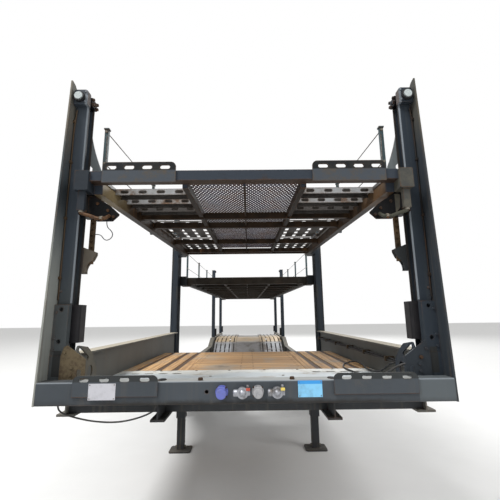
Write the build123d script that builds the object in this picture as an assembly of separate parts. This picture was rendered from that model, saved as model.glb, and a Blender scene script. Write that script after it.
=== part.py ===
"""Car transporter semi-trailer with a two-part lifting upper deck.

X runs across the trailer, Y runs back from its front end and Z runs up from the ground.
Every place along the trailer is given as the distance back from the front beam's face.
The origin is on the ground, at the middle of the trailer's length and width.
"""
from math import atan, cos, degrees, pi, radians, sin, sqrt, tan
import os

from build123d import *

os.makedirs("parts", exist_ok=True)

# Overall sizes, in millimetres
overall_width = 2550.0
overall_length = 13700.0
socket_reach = 70.0
front_face = -(overall_length - socket_reach) / 2
half_width = overall_width / 2

# Front beam: a box beam across the front end, closed by the posts' wing plates
beam_top = 1220.0
beam_height = 135.0
beam_depth = 115.0
beam_wall = 8.0
beam_bottom = beam_top - beam_height

# Posts: a wing plate on a tube whose inboard wall is open for a carriage's neck
wing_thickness = 12.0
post_top = 3270.0
wing_peak = 3330.0
box_width = 96.0
box_wall = 8.0
box_corner = 12.0
box_depth = 115.0
mid_box_depth = 130.0
opening_lip = 30.0
opening_width = 75.0
box_outer = half_width - wing_thickness
box_inner = box_outer - box_width
spindle_x = (box_inner + box_outer) / 2
spindle_diameter = 40.0

# Places of the posts' front faces
front_post_s = 150.0
mid_post_s = 3640.0
third_post_s = 10200.0
tail_post_s = 13350.0
front_post_back = front_post_s + box_depth
mid_post_depth = 2 * mid_box_depth

# Gooseneck: side rails, and a platform over the coupling
platform_top = 1120.0
rail_width = 120.0
rail_web = 10.0
rail_flange = 14.0
gooseneck_top = 1360.0
gooseneck_bottom = 960.0
rail_outer = box_outer
rail_inner = rail_outer - rail_width
board_thickness = 28.0
sheet_thickness = 5.0
sheet_end_s = 1140.0
platform_end_s = 2770.0
coupling_face = 950.0
coupling_plate_thickness = 10.0
kingpin_s = 1250.0

# Well: the low floor between the gooseneck and the wheels
well_floor = 500.0
well_rail_bottom = 380.0
well_rail_top = 700.0
well_start_s = 4250.0
well_end_s = 9000.0
floor_plate = 5.0

# Hump: the floor that rises over the wheels
hump_start_s = 9000.0
crest_s = 10300.0
crest_floor = 900.0
edge_rail_depth = 80.0
tail_start_s = 12300.0
tail_floor = 780.0
tail_end_s = 13550.0
track_inner = 400.0
track_outer = 1100.0

# Wheels and axles
tyre_radius = 395.0
tyre_width = 245.0
twin_spacing = 270.0
rim_radius = 222.0
axle_places = (10400.0, 11600.0)
wheel_outer_face = 1258.0
axle_tube_radius = 63.5
inner_rail_x = 480.0
inner_rail_width = 70.0
inner_rail_bottom = 560.0

# Upper decks
side_beam_outer = 1052.0
side_beam_width = 60.0
side_beam_depth = 150.0
deck_plate = 5.0
deck_track_inner = 435.0
deck_track_outer = side_beam_outer - side_beam_width
carriage_gap = 10.0
carriage_height = 160.0
front_deck_z = 2440.0
front_deck_rise = 0.050
rear_deck_z = 2140.0
rear_deck_rise = 0.0226
rear_deck_start_s = mid_post_s + mid_post_depth + carriage_gap
rear_deck_end_s = tail_post_s - carriage_gap

channel_wall = 8.0

LOW = (Align.MIN, Align.MIN, Align.MIN)


def brick(x, y, z):
    """A plain block between two faces on each axis."""
    return Pos(x[0], y[0], z[0]) * Box(x[1] - x[0], y[1] - y[0], z[1] - z[0], align=LOW)


def block(x, s, z):
    """A plain block whose ends are given as distances back from the front face."""
    return brick(x, (front_face + s[0], front_face + s[1]), z)


def side_plate(points, x, corner=0.0):
    """A plate seen from the side: its outline in (s, z), between two faces across the trailer."""
    outline = Polygon(*[(front_face + s, z) for s, z in points], align=None)
    if corner:
        outline = fillet(outline.vertices(), corner)
    return extrude(Plane.YZ.offset(x[0]) * outline, amount=x[1] - x[0], dir=(1, 0, 0))


def front_plate(outline, s):
    """A plate seen from the front: a sketch in (x, z), between two faces along the trailer."""
    return extrude(Plane.XZ.offset(-(front_face + s[1])) * outline, amount=s[1] - s[0], dir=(0, -1, 0))


def floor_sheet(outline, z):
    """A sheet seen from above: a sketch in (x, y), between two heights."""
    return extrude(Plane.XY.offset(z[0]) * outline, amount=z[1] - z[0], dir=(0, 0, 1))


def both_sides(shapes):
    """The shapes and their mirror images on the other side of the trailer."""
    shapes = shapes if isinstance(shapes, list) else [shapes]
    return shapes + [mirror(shape, about=Plane.YZ) for shape in shapes]


def save(name, shapes):
    """Write one node, made of the solids of one shape or of a list of shapes."""
    shapes = shapes if isinstance(shapes, list) else [shapes]
    solids = [solid for shape in shapes for solid in shape.solids()]
    export_step(Compound(solids), f"parts/{name}.step")


def slot(x, z, length, height):
    """A round-ended slot that lies across, centred at (x, z)."""
    return Pos(x, z) * SlotOverall(length, height)


def i_section(x, z, web, flange):
    """An I-shaped section between two faces across and two heights."""
    middle = (x[0] + x[1]) / 2
    return (Pos(middle, z[0] + flange / 2) * Rectangle(x[1] - x[0], flange)
            + Pos(middle, z[1] - flange / 2) * Rectangle(x[1] - x[0], flange)
            + Pos(middle, (z[0] + z[1]) / 2) * Rectangle(web, z[1] - z[0]))


def channel(x, y, z, wall):
    """A folded channel that lies across, open towards the rear."""
    return brick(x, y, z) - brick(x, (y[0] + wall, y[1]), (z[0] + wall, z[1] - wall))


def cross_channel(x, s, z, wall):
    """A folded channel whose place along is given as distances back from the front face."""
    return channel(x, (front_face + s[0], front_face + s[1]), z, wall)


# Front beam: box tube with holes for the sockets and couplings in its front wall
# columns: place across, height below the top, hole radius
connector_z = beam_top - 62.0
connectors = (
    ("lamp_socket", -145.0, 30.0),
    ("red_coupling", -20.0, 20.0),
    ("brake_socket", 71.0, 28.0),
    ("yellow_coupling", 185.0, 20.0),
)
beam_corner = 12.0
lamp_hole_x = -236.0
lamp_hole_radius = 11.0


def front_beam():
    outer = Rectangle(beam_depth, beam_height)
    outer = fillet(outer.vertices(), beam_corner)
    inner = Rectangle(beam_depth - 2 * beam_wall, beam_height - 2 * beam_wall)
    inner = fillet(inner.vertices(), beam_corner - beam_wall)
    section = Pos(front_face + beam_depth / 2, beam_top - beam_height / 2) * (outer - inner)
    tube = extrude(Plane.YZ.offset(-box_outer) * section, amount=2 * box_outer)
    for name, x, radius in connectors:
        tube -= front_plate(Pos(x, connector_z) * Circle(radius), (0, beam_wall))
    tube -= front_plate(Pos(lamp_hole_x, connector_z) * Circle(lamp_hole_radius), (0, beam_wall))
    return tube


# Hook plates: slotted plates that hold the ends of portable ramps
hook_plate_thickness = 10.0
hook_plate_corner = 35.0
beam_hook_x = (530.0, 1040.0)
beam_hook_z = (beam_top - 85.0, beam_top + 38.0)
beam_hook_slots = (609.0, 731.0, 853.0, 975.0)
beam_hook_slot_z = beam_top + 13.0
beam_hook_slot = (60.0, 22.0)


def hook_plate(x, z, s, slots, slot_z, slot_size):
    outline = Pos((x[0] + x[1]) / 2, (z[0] + z[1]) / 2) * Rectangle(x[1] - x[0], z[1] - z[0])
    outline = fillet(outline.vertices().group_by(Axis.Y)[-1], hook_plate_corner)
    for slot_x in slots:
        outline -= slot(slot_x, slot_z, *slot_size)
    return front_plate(outline, s)


# Posts
wing_front_lean = 80.0
wing_back_s = 290.0


def opening(s, from_back=False):
    """Front and rear edge of a post's opening, measured from the post's front or rear face."""
    if from_back:
        return (s - opening_lip - opening_width, s - opening_lip)
    return (s + opening_lip, s + opening_lip + opening_width)


def post_tube(s, height, open_s):
    """A rectangular tube with rounded corners, its inboard wall open over its whole height."""
    outline = Pos(spindle_x, front_face + (s[0] + s[1]) / 2) * Rectangle(box_width, s[1] - s[0])
    outline = fillet(outline.vertices(), box_corner)
    section = outline - offset(outline, -box_wall)
    section -= Pos(box_inner, front_face + sum(open_s) / 2) * Rectangle(2 * box_wall, opening_width)
    return extrude(Plane.XY.offset(height[0]) * section, amount=height[1] - height[0], dir=(0, 0, 1))


# Foot of a front post: bolted sleeve plate, rusty knee plate and a knee bracket with oval holes
sleeve_z = (beam_top + 144.0, beam_top + 470.0)
sleeve_holes = (beam_top + 233.0, beam_top + 439.0)
sleeve_hole_radius = 14.0
sleeve_thickness = 30.0
knee_thickness = 10.0
# columns: place across and height of each corner of the knee plate
knee_outline = ((1148, beam_top + 209), (1024, beam_top + 122), (1022, beam_top), (1185, beam_top),
                (1185, sleeve_z[0]), (box_inner, beam_top + 200))
knee_hole = (1062.0, beam_top + 34.0)
knee_hole_size = (54.0, 29.0)
bracket_x = (1096.0, 1106.0)
# columns: place along and height of each corner of the foot bracket
bracket_outline = ((beam_depth, platform_top), (beam_depth, beam_top + 150), (beam_depth + 35, beam_top + 205),
                   (290, beam_top + 185), (360, beam_top + 142), (445, beam_top + 63), (455, beam_top),
                   (455, platform_top))
# columns: place along, height, turn, length and width of each hole of the foot bracket
bracket_holes = ((237, beam_top + 143, -28, 165, 32), (346, beam_top + 14, 90, 88, 80))
bracket_corner = 22.0
lamp_bracket_size = (108.0, 120.0)
lamp_bracket_corner = 24.0
lamp_bracket_thickness = 40.0


def front_post():
    post = post_tube((front_post_s, front_post_back), (beam_bottom, post_top), opening(front_post_s))
    post += block((box_inner, box_outer), (beam_depth, front_post_s + box_wall / 2), (beam_bottom, sleeve_z[0]))
    wing = ((0, beam_bottom), (wing_front_lean, wing_peak), (wing_front_lean + 45, wing_peak - 10),
            (wing_back_s, wing_peak - 150), (wing_back_s, beam_bottom))
    post += side_plate(wing, (box_outer, half_width))
    sleeve_s = (front_post_s - sleeve_thickness, front_post_s + box_wall / 2)
    sleeve = block((box_inner, box_outer), sleeve_s, sleeve_z)
    for z in sleeve_holes:
        sleeve -= front_plate(Pos(spindle_x, z) * Circle(sleeve_hole_radius), sleeve_s)
    post += sleeve
    # lamp bracket on the tube, in front of its top
    lamp_bracket = Pos(spindle_x - 6, post_top - 55) * Rectangle(*lamp_bracket_size)
    lamp_bracket = fillet(lamp_bracket.vertices().group_by(Axis.Y)[-1], lamp_bracket_corner)
    return post + front_plate(lamp_bracket, (front_post_s - lamp_bracket_thickness, front_post_s + box_wall / 2))


def front_knee():
    """Knee plate across the foot of a front post, over the beam."""
    outline = Polygon(*knee_outline, align=None)
    outline -= Pos(*knee_hole) * Rot(0, 0, 90) * SlotOverall(*knee_hole_size)
    return front_plate(outline, (beam_depth - knee_thickness, beam_depth))


def foot_bracket():
    """Bracket with two holes that ties the knee plate to the platform behind it."""
    plate = side_plate(bracket_outline, bracket_x)
    plate = fillet(plate.edges().filter_by(Axis.X).group_by(Axis.Z)[-1], bracket_corner)
    for s, z, turn, length, width in bracket_holes:
        hole = Pos(front_face + s, z) * Rot(0, 0, turn) * SlotOverall(length, width)
        plate -= extrude(Plane.YZ.offset(bracket_x[0]) * hole, amount=bracket_x[1] - bracket_x[0], dir=(1, 0, 0))
    return plate


# Lock bar of a front carriage, and the guide on the post that it runs down through
lock_bar_x = (1108.0, 1147.0)
lock_bar_s = (286.0, 300.0)
lock_guide_wall = 8.0
lock_guide_gap = 7.0
lock_guide_root = 20.0
lock_guide_outer = box_inner + 2 * box_corner
# columns: place across and height of each corner of the guide's walls
lock_guide_outline = ((lock_guide_outer, 1915), (lock_guide_outer, 2112), (1086, 2072), (1086, 2052), (1150, 1915))
lock_guide_hollow = (1060.0, 1930.0)
lock_guide_hollow_radius = 92.0
lock_guide_tie_z = (1930.0, 2095.0)


def lock_guide():
    """Curved guide on a front post's rear face, in front of the lock bar and behind it."""
    outer = lock_guide_outer
    outline = Polygon(*lock_guide_outline, align=None)
    outline -= Pos(*lock_guide_hollow) * Circle(lock_guide_hollow_radius)
    front_s = lock_bar_s[0] - lock_guide_gap
    rear_s = lock_bar_s[1] + lock_guide_gap
    guide = front_plate(outline, (front_s - lock_guide_wall, front_s))
    guide += front_plate(outline, (rear_s, rear_s + lock_guide_wall))
    guide += block((lock_bar_x[1] + lock_guide_gap, outer), (front_s - lock_guide_wall, rear_s), lock_guide_tie_z)
    return guide + block((outer - lock_guide_root, outer), (front_post_back - box_wall / 2, front_s), lock_guide_tie_z)


def mid_post():
    """Two tubes back to back: the front one for the front deck, the rear one for the rear deck."""
    height = (well_rail_bottom, post_top)
    back = mid_post_s + mid_post_depth
    middle = mid_post_s + mid_box_depth
    post = post_tube((mid_post_s, middle), height, opening(mid_post_s))
    post += post_tube((middle, back), height, opening(back, from_back=True))
    post += block((box_inner + box_corner, box_outer), (middle - 10, middle + 10), height)
    wing = ((mid_post_s, well_rail_bottom), (mid_post_s, post_top - 200), (mid_post_s + 60, wing_peak - 30),
            (back - 60, wing_peak - 30), (back, post_top - 200), (back, well_rail_bottom))
    return post + side_plate(wing, (box_outer, half_width))


def plain_post(s, low):
    """A rear post, which stands on the edge rail."""
    height = (low, post_top)
    post = post_tube((s, s + box_depth), height, opening(s))
    return post + block((box_outer, half_width), (s, s + box_depth), height)


# Spindles: one in each opening, with a flanged head on top and a thrust block below
spindle_top = post_top - 20.0
spindle_head = 62.0
spindle_foot = 40.0
spindle_block_half = 33.0
head_plate_thickness = 12.0
head_plate_half = 44.0
drive_x = (1112.0, box_inner)
drive_half = 53.0
drive_height = 250.0
drive_corner = 20.0


def spindle(s, low, drive_low):
    """A lift spindle, its head block and head plate, its foot block and its drive housing."""
    half = spindle_block_half
    across = (spindle_x - half, spindle_x + half)
    head_z = (spindle_top - spindle_head, spindle_top)
    unit = Pos(spindle_x, front_face + s, low) * Cylinder(spindle_diameter / 2, spindle_top - low,
                                                          align=(Align.CENTER, Align.CENTER, Align.MIN))
    unit += block(across, (s - half, s + half), (low, low + spindle_foot))
    unit += block((box_inner - head_plate_thickness, across[1]), (s - half, s + half), head_z)
    unit += block((box_inner - head_plate_thickness, box_inner), (s - head_plate_half, s + head_plate_half), head_z)
    housing = block(drive_x, (s - drive_half, s + drive_half), (drive_low, drive_low + drive_height))
    housing = fillet(housing.edges().filter_by(Axis.Z).group_by(Axis.X)[0], drive_corner)
    drive_shaft = (drive_low + drive_height / 2 - half, drive_low + drive_height / 2 + half)
    return unit + housing + block((box_inner - 1, spindle_x), (s - half, s + half), drive_shaft)


# Gooseneck
def gooseneck_rail():
    """I-shaped side rail from the front post to the mid post."""
    section = i_section((rail_inner, rail_outer), (gooseneck_bottom, gooseneck_top), rail_web, rail_flange)
    return front_plate(section, (front_post_back, mid_post_s))


cross_places = (330.0, 800.0, 1250.0, 1700.0, 2080.0, 2440.0, 2720.0)
cross_width = 60.0
cross_wall = 8.0
stringer_x = (510.0, 600.0)
bearer_places = (140.0, 330.0, 800.0, 1115.0)
bearer_half = 20.0
platform_frame_top = platform_top - board_thickness
web_face = (rail_inner + rail_outer - rail_web) / 2
board_gap = 5.0
strip_drop = 8.0
# columns: inboard and outboard edge of each steel strip between the side boards
strip_edges = ((640.0, 700.0), (790.0, 850.0), (990.0, 1050.0))


def platform_frame():
    """Channels across between the gooseneck rails, and two I-beams that carry the coupling plate."""
    low = coupling_face + coupling_plate_thickness
    section = i_section(stringer_x, (low, platform_frame_top), rail_web, rail_flange)
    frame = front_plate(section, (beam_depth, platform_end_s))
    frame += mirror(frame, about=Plane.YZ)
    for s in cross_places:
        frame += cross_channel((-web_face, web_face), (s - cross_width / 2, s + cross_width / 2),
                               (low + rail_flange, platform_frame_top), cross_wall)
    for s in bearer_places:
        frame += block((-rail_inner, rail_inner), (s - bearer_half, s + bearer_half),
                       (platform_frame_top, platform_top - sheet_thickness))
    for low_x, high_x in strip_edges:
        for strip in both_sides(block((low_x + 1, high_x - 1), (sheet_end_s + board_gap, platform_end_s),
                                      (platform_frame_top, platform_top - strip_drop))):
            frame += strip
    return frame


sheet_slot_size = (80.0, 45.0)
sheet_slot_s = 970.0
sheet_slot_x = (609.0, 731.0, 853.0, 975.0, 1093.0)
# columns: place across, place along, length, width of each larger opening
sheet_openings = ((636.0, 615.0, 160.0, 62.0), (338.0, 560.0, 60.0, 26.0))


def platform_sheet():
    """Steel sheet over the coupling, slotted near its rear edge, with two openings on each side."""
    length = sheet_end_s - beam_depth
    outline = Pos(0, front_face + beam_depth + length / 2) * Rectangle(2 * rail_inner, length)
    for side in (-1, 1):
        for x in sheet_slot_x:
            outline -= Pos(side * x, front_face + sheet_slot_s) * SlotOverall(*sheet_slot_size)
        for x, s, slot_length, width in sheet_openings:
            outline -= Pos(side * x, front_face + s) * Rot(0, 0, 90) * SlotOverall(slot_length, width)
    return floor_sheet(outline, (platform_top - sheet_thickness, platform_top))


centre_joint = 545.0
board_count = 7


def platform_boards():
    """Boards across the middle, and boards along each side with steel strips between them."""
    z = (platform_frame_top, platform_top)
    length = platform_end_s - sheet_end_s
    pitch = length / board_count
    boards = []
    for index in range(board_count):
        s = sheet_end_s + index * pitch
        boards.append(block((-centre_joint, centre_joint), (s + board_gap, s + pitch), z))
    edges = [centre_joint + board_gap] + [edge for strip in strip_edges for edge in strip] + [rail_inner - board_gap]
    for low, high in zip(edges[0::2], edges[1::2]):
        boards += both_sides(block((low, high), (sheet_end_s + board_gap, platform_end_s), z))
    return boards


coupling_half_width = 600.0
coupling_s = (700.0, 1900.0)


def coupling_plate():
    """Plate that rests on a tractor's fifth wheel, its front edge turned up as a lead-in."""
    z = coupling_face + coupling_plate_thickness
    outline = Pos(0, front_face + sum(coupling_s) / 2) * Rectangle(2 * coupling_half_width,
                                                                   coupling_s[1] - coupling_s[0])
    outline = fillet(outline.vertices(), 60)
    return floor_sheet(outline, (coupling_face, z))


# Kingpin, 2 inch size. columns: radius, height below the coupling face
kingpin_steps = ((36.5, 0.0, 36.0), (25.4, 36.0, 66.0), (35.7, 66.0, 84.0))


def kingpin():
    pin = None
    for radius, top, bottom in kingpin_steps:
        step = Pos(0, front_face + kingpin_s, coupling_face - bottom) * Cylinder(
            radius, bottom - top, align=(Align.CENTER, Align.CENTER, Align.MIN))
        pin = step if pin is None else pin + step
    return pin


# Landing legs
leg_s = 2440.0
leg_x = 830.0
leg_outer = 110.0
leg_inner = 88.0
leg_top = coupling_face + coupling_plate_thickness
leg_split = 380.0
leg_inner_low = 70.0
leg_gearbox_z = (620.0, 800.0)
leg_gearbox_half = 45.0
leg_gearbox_depth = 75.0
leg_shaft_radius = 12.0
foot_thickness = 14.0
foot_size = (260.0, 220.0)
foot_corner = 30.0


def landing_leg():
    """Square outer tube, inner tube and a foot plate on a cross pin."""
    half = leg_outer / 2
    outer = block((leg_x - half, leg_x + half), (leg_s - half, leg_s + half), (leg_split, leg_top + rail_flange))
    half = leg_inner / 2
    inner = block((leg_x - half, leg_x + half), (leg_s - half, leg_s + half), (leg_inner_low, leg_split))
    foot = Pos(leg_x, front_face + leg_s, 0) * Box(foot_size[0], foot_size[1], foot_thickness,
                                                   align=(Align.CENTER, Align.CENTER, Align.MIN))
    foot = fillet(foot.edges().filter_by(Axis.Z), foot_corner)
    ear = block((leg_x - half, leg_x + half), (leg_s - foot_corner, leg_s + foot_corner), (foot_thickness, leg_inner_low))
    gearbox = block((leg_x - leg_gearbox_half, leg_x + leg_gearbox_half),
                    (leg_s - half - leg_gearbox_depth, leg_s - half), leg_gearbox_z)
    return outer + inner + foot + ear + gearbox


def leg_shaft():
    """Shaft across that turns both legs together."""
    place = Pos(0, front_face + leg_s - leg_outer / 2 - 40, sum(leg_gearbox_z) / 2)
    return place * Rot(0, 90, 0) * Cylinder(leg_shaft_radius, 2 * (leg_x - 40))


# Well
well_cross_places = (4300.0, 5200.0, 6100.0, 7000.0, 7900.0, 8800.0)
track_skirt = 40.0
cross_depth = 60.0
well_cross_half = 30.0
slope_cross_half = 25.0
# The sloping tracks start clear of the platform's edge
slope_start_s = platform_end_s + 20.0
# columns: place along, top and reach of the crossmembers under the sloping tracks
slope_crosses = ((2850.0, 1040.0, web_face), (3400.0, 806.0, rail_inner))


def well_rail():
    """I-shaped side rail of the well."""
    section = i_section((rail_inner, rail_outer), (well_rail_bottom, well_rail_top), rail_web, rail_flange)
    return front_plate(section, (mid_post_s + mid_post_depth, hump_start_s))


def slotted_track(x, length, rows, columns, hole):
    """A folded track plate with rows of long holes: it lies along Y from 0, its top at height 0."""
    width = x[1] - x[0]
    column_pitch = width / columns
    row_pitch = length / rows
    sheet = Pos((x[0] + x[1]) / 2, length / 2) * Rectangle(width, length)
    sheet -= [Pos(x[0] + (column + 0.5) * column_pitch, (row + 0.5) * row_pitch) * Rectangle(*hole)
              for row in range(rows) for column in range(columns)]
    track = extrude(Plane.XY.offset(-floor_plate) * sheet, amount=floor_plate)
    track += brick((x[0], x[0] + floor_plate), (0, length), (-track_skirt, 0))
    track += brick((x[1] - floor_plate, x[1]), (0, length), (-track_skirt, 0))
    return track


def well_tracks():
    """Two slotted tracks, and the sloping tracks up to the platform."""
    run = well_start_s - slope_start_s
    drop = platform_top - well_floor
    slope_length = sqrt(run ** 2 + drop ** 2)
    tracks = None
    for side in (-1, 1):
        x = sorted((side * track_inner, side * track_outer))
        flat = Pos(0, front_face + well_start_s, well_floor) * slotted_track(x, well_end_s - well_start_s, 14, 4,
                                                                            (50, 200))
        sloping = slotted_track(x, slope_length, 5, 4, (50, 160))
        sloping = Pos(0, front_face + slope_start_s, platform_top) * Rot(-degrees(atan(drop / run)), 0, 0) * sloping
        tracks = flat + sloping if tracks is None else tracks + flat + sloping
    return tracks


def well_crossmembers():
    """Crossmembers under the flat tracks and under the sloping ones."""
    members = [cross_channel((-web_face, web_face), (s - well_cross_half, s + well_cross_half),
                             (well_rail_bottom + rail_flange, well_floor - track_skirt), cross_wall)
               for s in well_cross_places]
    members += [cross_channel((-reach, reach), (s - slope_cross_half, s + slope_cross_half),
                              (top - cross_depth, top), cross_wall)
                for s, top, reach in slope_crosses]
    return members


def framed_plate(points, x, wall):
    """A side plate with a flange all round: its web is on the inboard face."""
    outline = Polygon(*[(front_face + s, z) for s, z in points], align=None)
    solid = extrude(Plane.YZ.offset(x[0]) * outline, amount=x[1] - x[0], dir=(1, 0, 0))
    hollow = offset(outline, -wall, kind=Kind.INTERSECTION)
    return solid - extrude(Plane.YZ.offset(x[0] + wall) * hollow, amount=x[1] - x[0], dir=(1, 0, 0))


def neck_gusset():
    """Triangular knee under the gooseneck rail, down the face of the mid post."""
    points = ((platform_end_s - 260, gooseneck_bottom), (mid_post_s, gooseneck_bottom),
              (mid_post_s, gooseneck_bottom - 420), (mid_post_s - 300, gooseneck_bottom - 320))
    return framed_plate(points, (rail_inner, rail_outer), rail_web)


# Hump. columns: place along and height of the floor
hump_line = ((hump_start_s, well_floor), (crest_s - 620, crest_floor - 100), (crest_s, crest_floor),
             (tail_start_s, crest_floor), (tail_end_s, tail_floor))
hump_plate = 6.0
hump_slot_width = 34.0
hump_slots = 5
hump_slot_runs = ((hump_start_s + 60, hump_start_s + 560), (hump_start_s + 640, crest_s - 40),
                  (crest_s + 120, crest_s + 900), (crest_s + 1050, tail_start_s - 150))
hump_cross_places = (9350.0, 10020.0, 10980.0, 12200.0, 13400.0)
hump_cross_depth = 50.0
hump_cross_half = 25.0
hump_panel_drop = track_skirt - 1.0


def hump_height(s):
    """Height of the hump's floor."""
    for (s0, z0), (s1, z1) in zip(hump_line[:-1], hump_line[1:]):
        if s <= s1:
            return z0 + (z1 - z0) * (s - s0) / (s1 - s0)
    return hump_line[-1][1]


def hump_band(top, bottom):
    """Side outline of a band that follows the hump's floor, between two depths below it."""
    return [(s, z - top) for s, z in hump_line] + [(s, z - bottom) for s, z in reversed(hump_line)]


edge_rail_top = crest_floor + 20.0


def edge_rail():
    """Outer rail that climbs from the well rail and runs over the wheels to the tail."""
    low = crest_floor - edge_rail_depth
    points = ((hump_start_s, well_rail_bottom), (hump_start_s + 420, well_rail_bottom), (crest_s - 420, low),
              (tail_end_s, low), (tail_end_s, edge_rail_top), (crest_s - 560, edge_rail_top),
              (hump_start_s, well_rail_top))
    return framed_plate(points, (rail_inner, rail_outer), rail_web)


ramp_guide_places = (11750.0, 12600.0, 13400.0)
ramp_guide_half = 30.0
ramp_guide_z = (580.0, 618.0)
inner_rail_drop = 50.0


def inner_rails():
    """Two longitudinals over the axles, tied by the bearers that the loading ramps lie on."""
    low = well_rail_bottom + rail_flange
    start = well_cross_places[-1] + well_cross_half
    points = [(start, low), (hump_start_s + 50, low), (hump_start_s + 600, inner_rail_bottom),
              (tail_end_s, inner_rail_bottom)]
    points += [(s, z - inner_rail_drop) for s, z in reversed(hump_line)] + [(start, well_floor - inner_rail_drop)]
    half = inner_rail_width / 2
    rails = None
    for rail in both_sides(side_plate(points, (inner_rail_x - half, inner_rail_x + half))):
        rails = rail if rails is None else rails + rail
    for s in ramp_guide_places:
        rails += cross_channel((half - inner_rail_x, inner_rail_x - half), (s - ramp_guide_half, s + ramp_guide_half),
                               ramp_guide_z, cross_wall)
    return rails


def hump_tracks():
    """Two tracks over the wheels with long slots, on crossmembers fitted between the rails."""
    tracks = None
    pitch = (track_outer - track_inner) / hump_slots
    for side in (-1, 1):
        x = sorted((side * track_inner, side * track_outer))
        track = side_plate(hump_band(0, track_skirt), x)
        track -= side_plate(hump_band(hump_plate, track_skirt), (x[0] + hump_plate, x[1] - hump_plate))
        for index in range(hump_slots):
            centre = x[0] + (index + 0.5) * pitch
            for s in hump_slot_runs:
                track -= block((centre - hump_slot_width / 2, centre + hump_slot_width / 2), s, (0, crest_floor + 100))
        tracks = track if tracks is None else tracks + track
    half = inner_rail_width / 2
    for s in hump_cross_places:
        ends = (s - hump_cross_half, s + hump_cross_half)
        top = min(hump_height(ends[0]), hump_height(ends[1])) - hump_panel_drop
        for x in ((-rail_inner, -inner_rail_x - half), (half - inner_rail_x, inner_rail_x - half),
                  (inner_rail_x + half, rail_inner)):
            tracks += cross_channel(x, ends, (top - hump_cross_depth, top), hump_plate)
    return tracks


def hump_panel():
    """Plain sheet between the two tracks."""
    return side_plate(hump_band(hump_panel_drop - hump_plate, hump_panel_drop), (-track_inner, track_inner))


# Rear beam: underrun bar with recesses for the lamps, and the uprights that hold it
rear_beam_z = (400.0, 600.0)
rear_beam_s = (tail_end_s, overall_length)
rear_beam_half = 1240.0
lamp_centres = (900.0, 1110.0)
lamp_half = 85.0
lamp_recess = 40.0
lamp_margin = 45.0
lamp_gap = 2.0


def rear_beam():
    bar = block((-rear_beam_half, rear_beam_half), rear_beam_s, rear_beam_z)
    for side in (-1, 1):
        for centre in lamp_centres:
            bar -= block((side * centre - lamp_half, side * centre + lamp_half),
                         (overall_length - lamp_recess, overall_length),
                         (rear_beam_z[0] + lamp_margin, rear_beam_z[1] - lamp_margin))
        x = sorted((side * (inner_rail_x - 35), side * (inner_rail_x + 35)))
        bar += block(x, (tail_end_s, tail_end_s + 40), (rear_beam_z[0], tail_floor - 50))
    return bar


def rear_lamps():
    lamps = []
    for centre in lamp_centres:
        half = lamp_half - lamp_gap
        lamps.append(block((centre - half, centre + half), (overall_length - lamp_recess, overall_length - 4),
                           (rear_beam_z[0] + lamp_margin + lamp_gap, rear_beam_z[1] - lamp_margin - lamp_gap)))
    return both_sides(lamps)


# Axles and suspension
stub_radius = 40.0
stub_start = 700.0
stub_end = 1010.0
stub_clearance = 0.5
arm_x = (610.0, 680.0)
arm_pivot_back = 500.0
arm_seat_clearance = 0.2
spring_offset = 400.0
spring_radius = 95.0
spring_x = 615.0
spring_low = tyre_radius - 34.0
spring_high = inner_rail_bottom + 60.0


def round_bar(x, s, z, radius):
    """A round bar across the trailer, between two places."""
    bar = Cylinder(radius, x[1] - x[0])
    return Pos((x[0] + x[1]) / 2, front_face + s, z) * Rot(0, 90, 0) * bar


def axle(s):
    tube = round_bar((-stub_start, stub_start), s, tyre_radius, axle_tube_radius)
    return tube + round_bar((-stub_end, stub_end), s, tyre_radius, stub_radius)


def suspension_arm(s):
    """Hanger, trailing arm over the axle, and the seat and bracket of the air spring."""
    pivot = s - arm_pivot_back
    spring = s + spring_offset
    points = ((pivot - 50, tyre_radius + 10), (pivot, tyre_radius + 70), (s, tyre_radius + 95),
              (s + 130, tyre_radius + 70), (spring - 95, spring_low), (spring + 90, spring_low),
              (spring + 90, spring_low - 46), (spring - 110, spring_low - 46),
              (s + 60, tyre_radius + 10), (s, tyre_radius + 20), (s - 60, tyre_radius + 10), (pivot, tyre_radius - 40))
    arm = side_plate(points, arm_x)
    arm += block((arm_x[0] - 10, arm_x[1] + 10), (s - 70, s + 70), (tyre_radius + 30, tyre_radius + 75))
    arm += block((spring_x - 70, arm_x[1] + 20), (spring - 80, spring + 80), (spring_low - 16, spring_low))
    hanger = ((pivot - 90, spring_high), (pivot - 55, tyre_radius - 70), (pivot + 55, tyre_radius - 70),
              (pivot + 120, spring_high))
    rail_face = inner_rail_x + inner_rail_width / 2
    arm += side_plate(hanger, (rail_face, arm_x[0]))
    arm += block((rail_face, spring_x + 80), (spring - 80, spring + 80), (spring_high, spring_high + 16))
    arm -= round_bar((0, stub_start), s, tyre_radius, axle_tube_radius + arm_seat_clearance)
    return arm


def air_spring(s):
    """Bellows on its piston, between the arm's seat and the bracket on the inner rail."""
    # columns: radius, height above the seat or, where negative, below the bracket
    steps = ((0, 0), (62, 0), (68, 55), (56, 75), (spring_radius, 110), (spring_radius, -30), (76, 0))
    points = [(radius, (spring_low if step >= 0 and index < 5 else spring_high) + step)
              for index, (radius, step) in enumerate(steps)] + [(0, spring_high)]
    bellows = revolve(Plane.XZ * make_face(Polyline(*points, close=True)), Axis.Z)
    return Pos(spring_x, front_face + s + spring_offset, 0) * bellows


# Mudguards
guard_radius = 420.0
guard_thickness = 5.0
guard_x = (735.0, 1262.0)
guard_angle = 62.0


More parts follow.
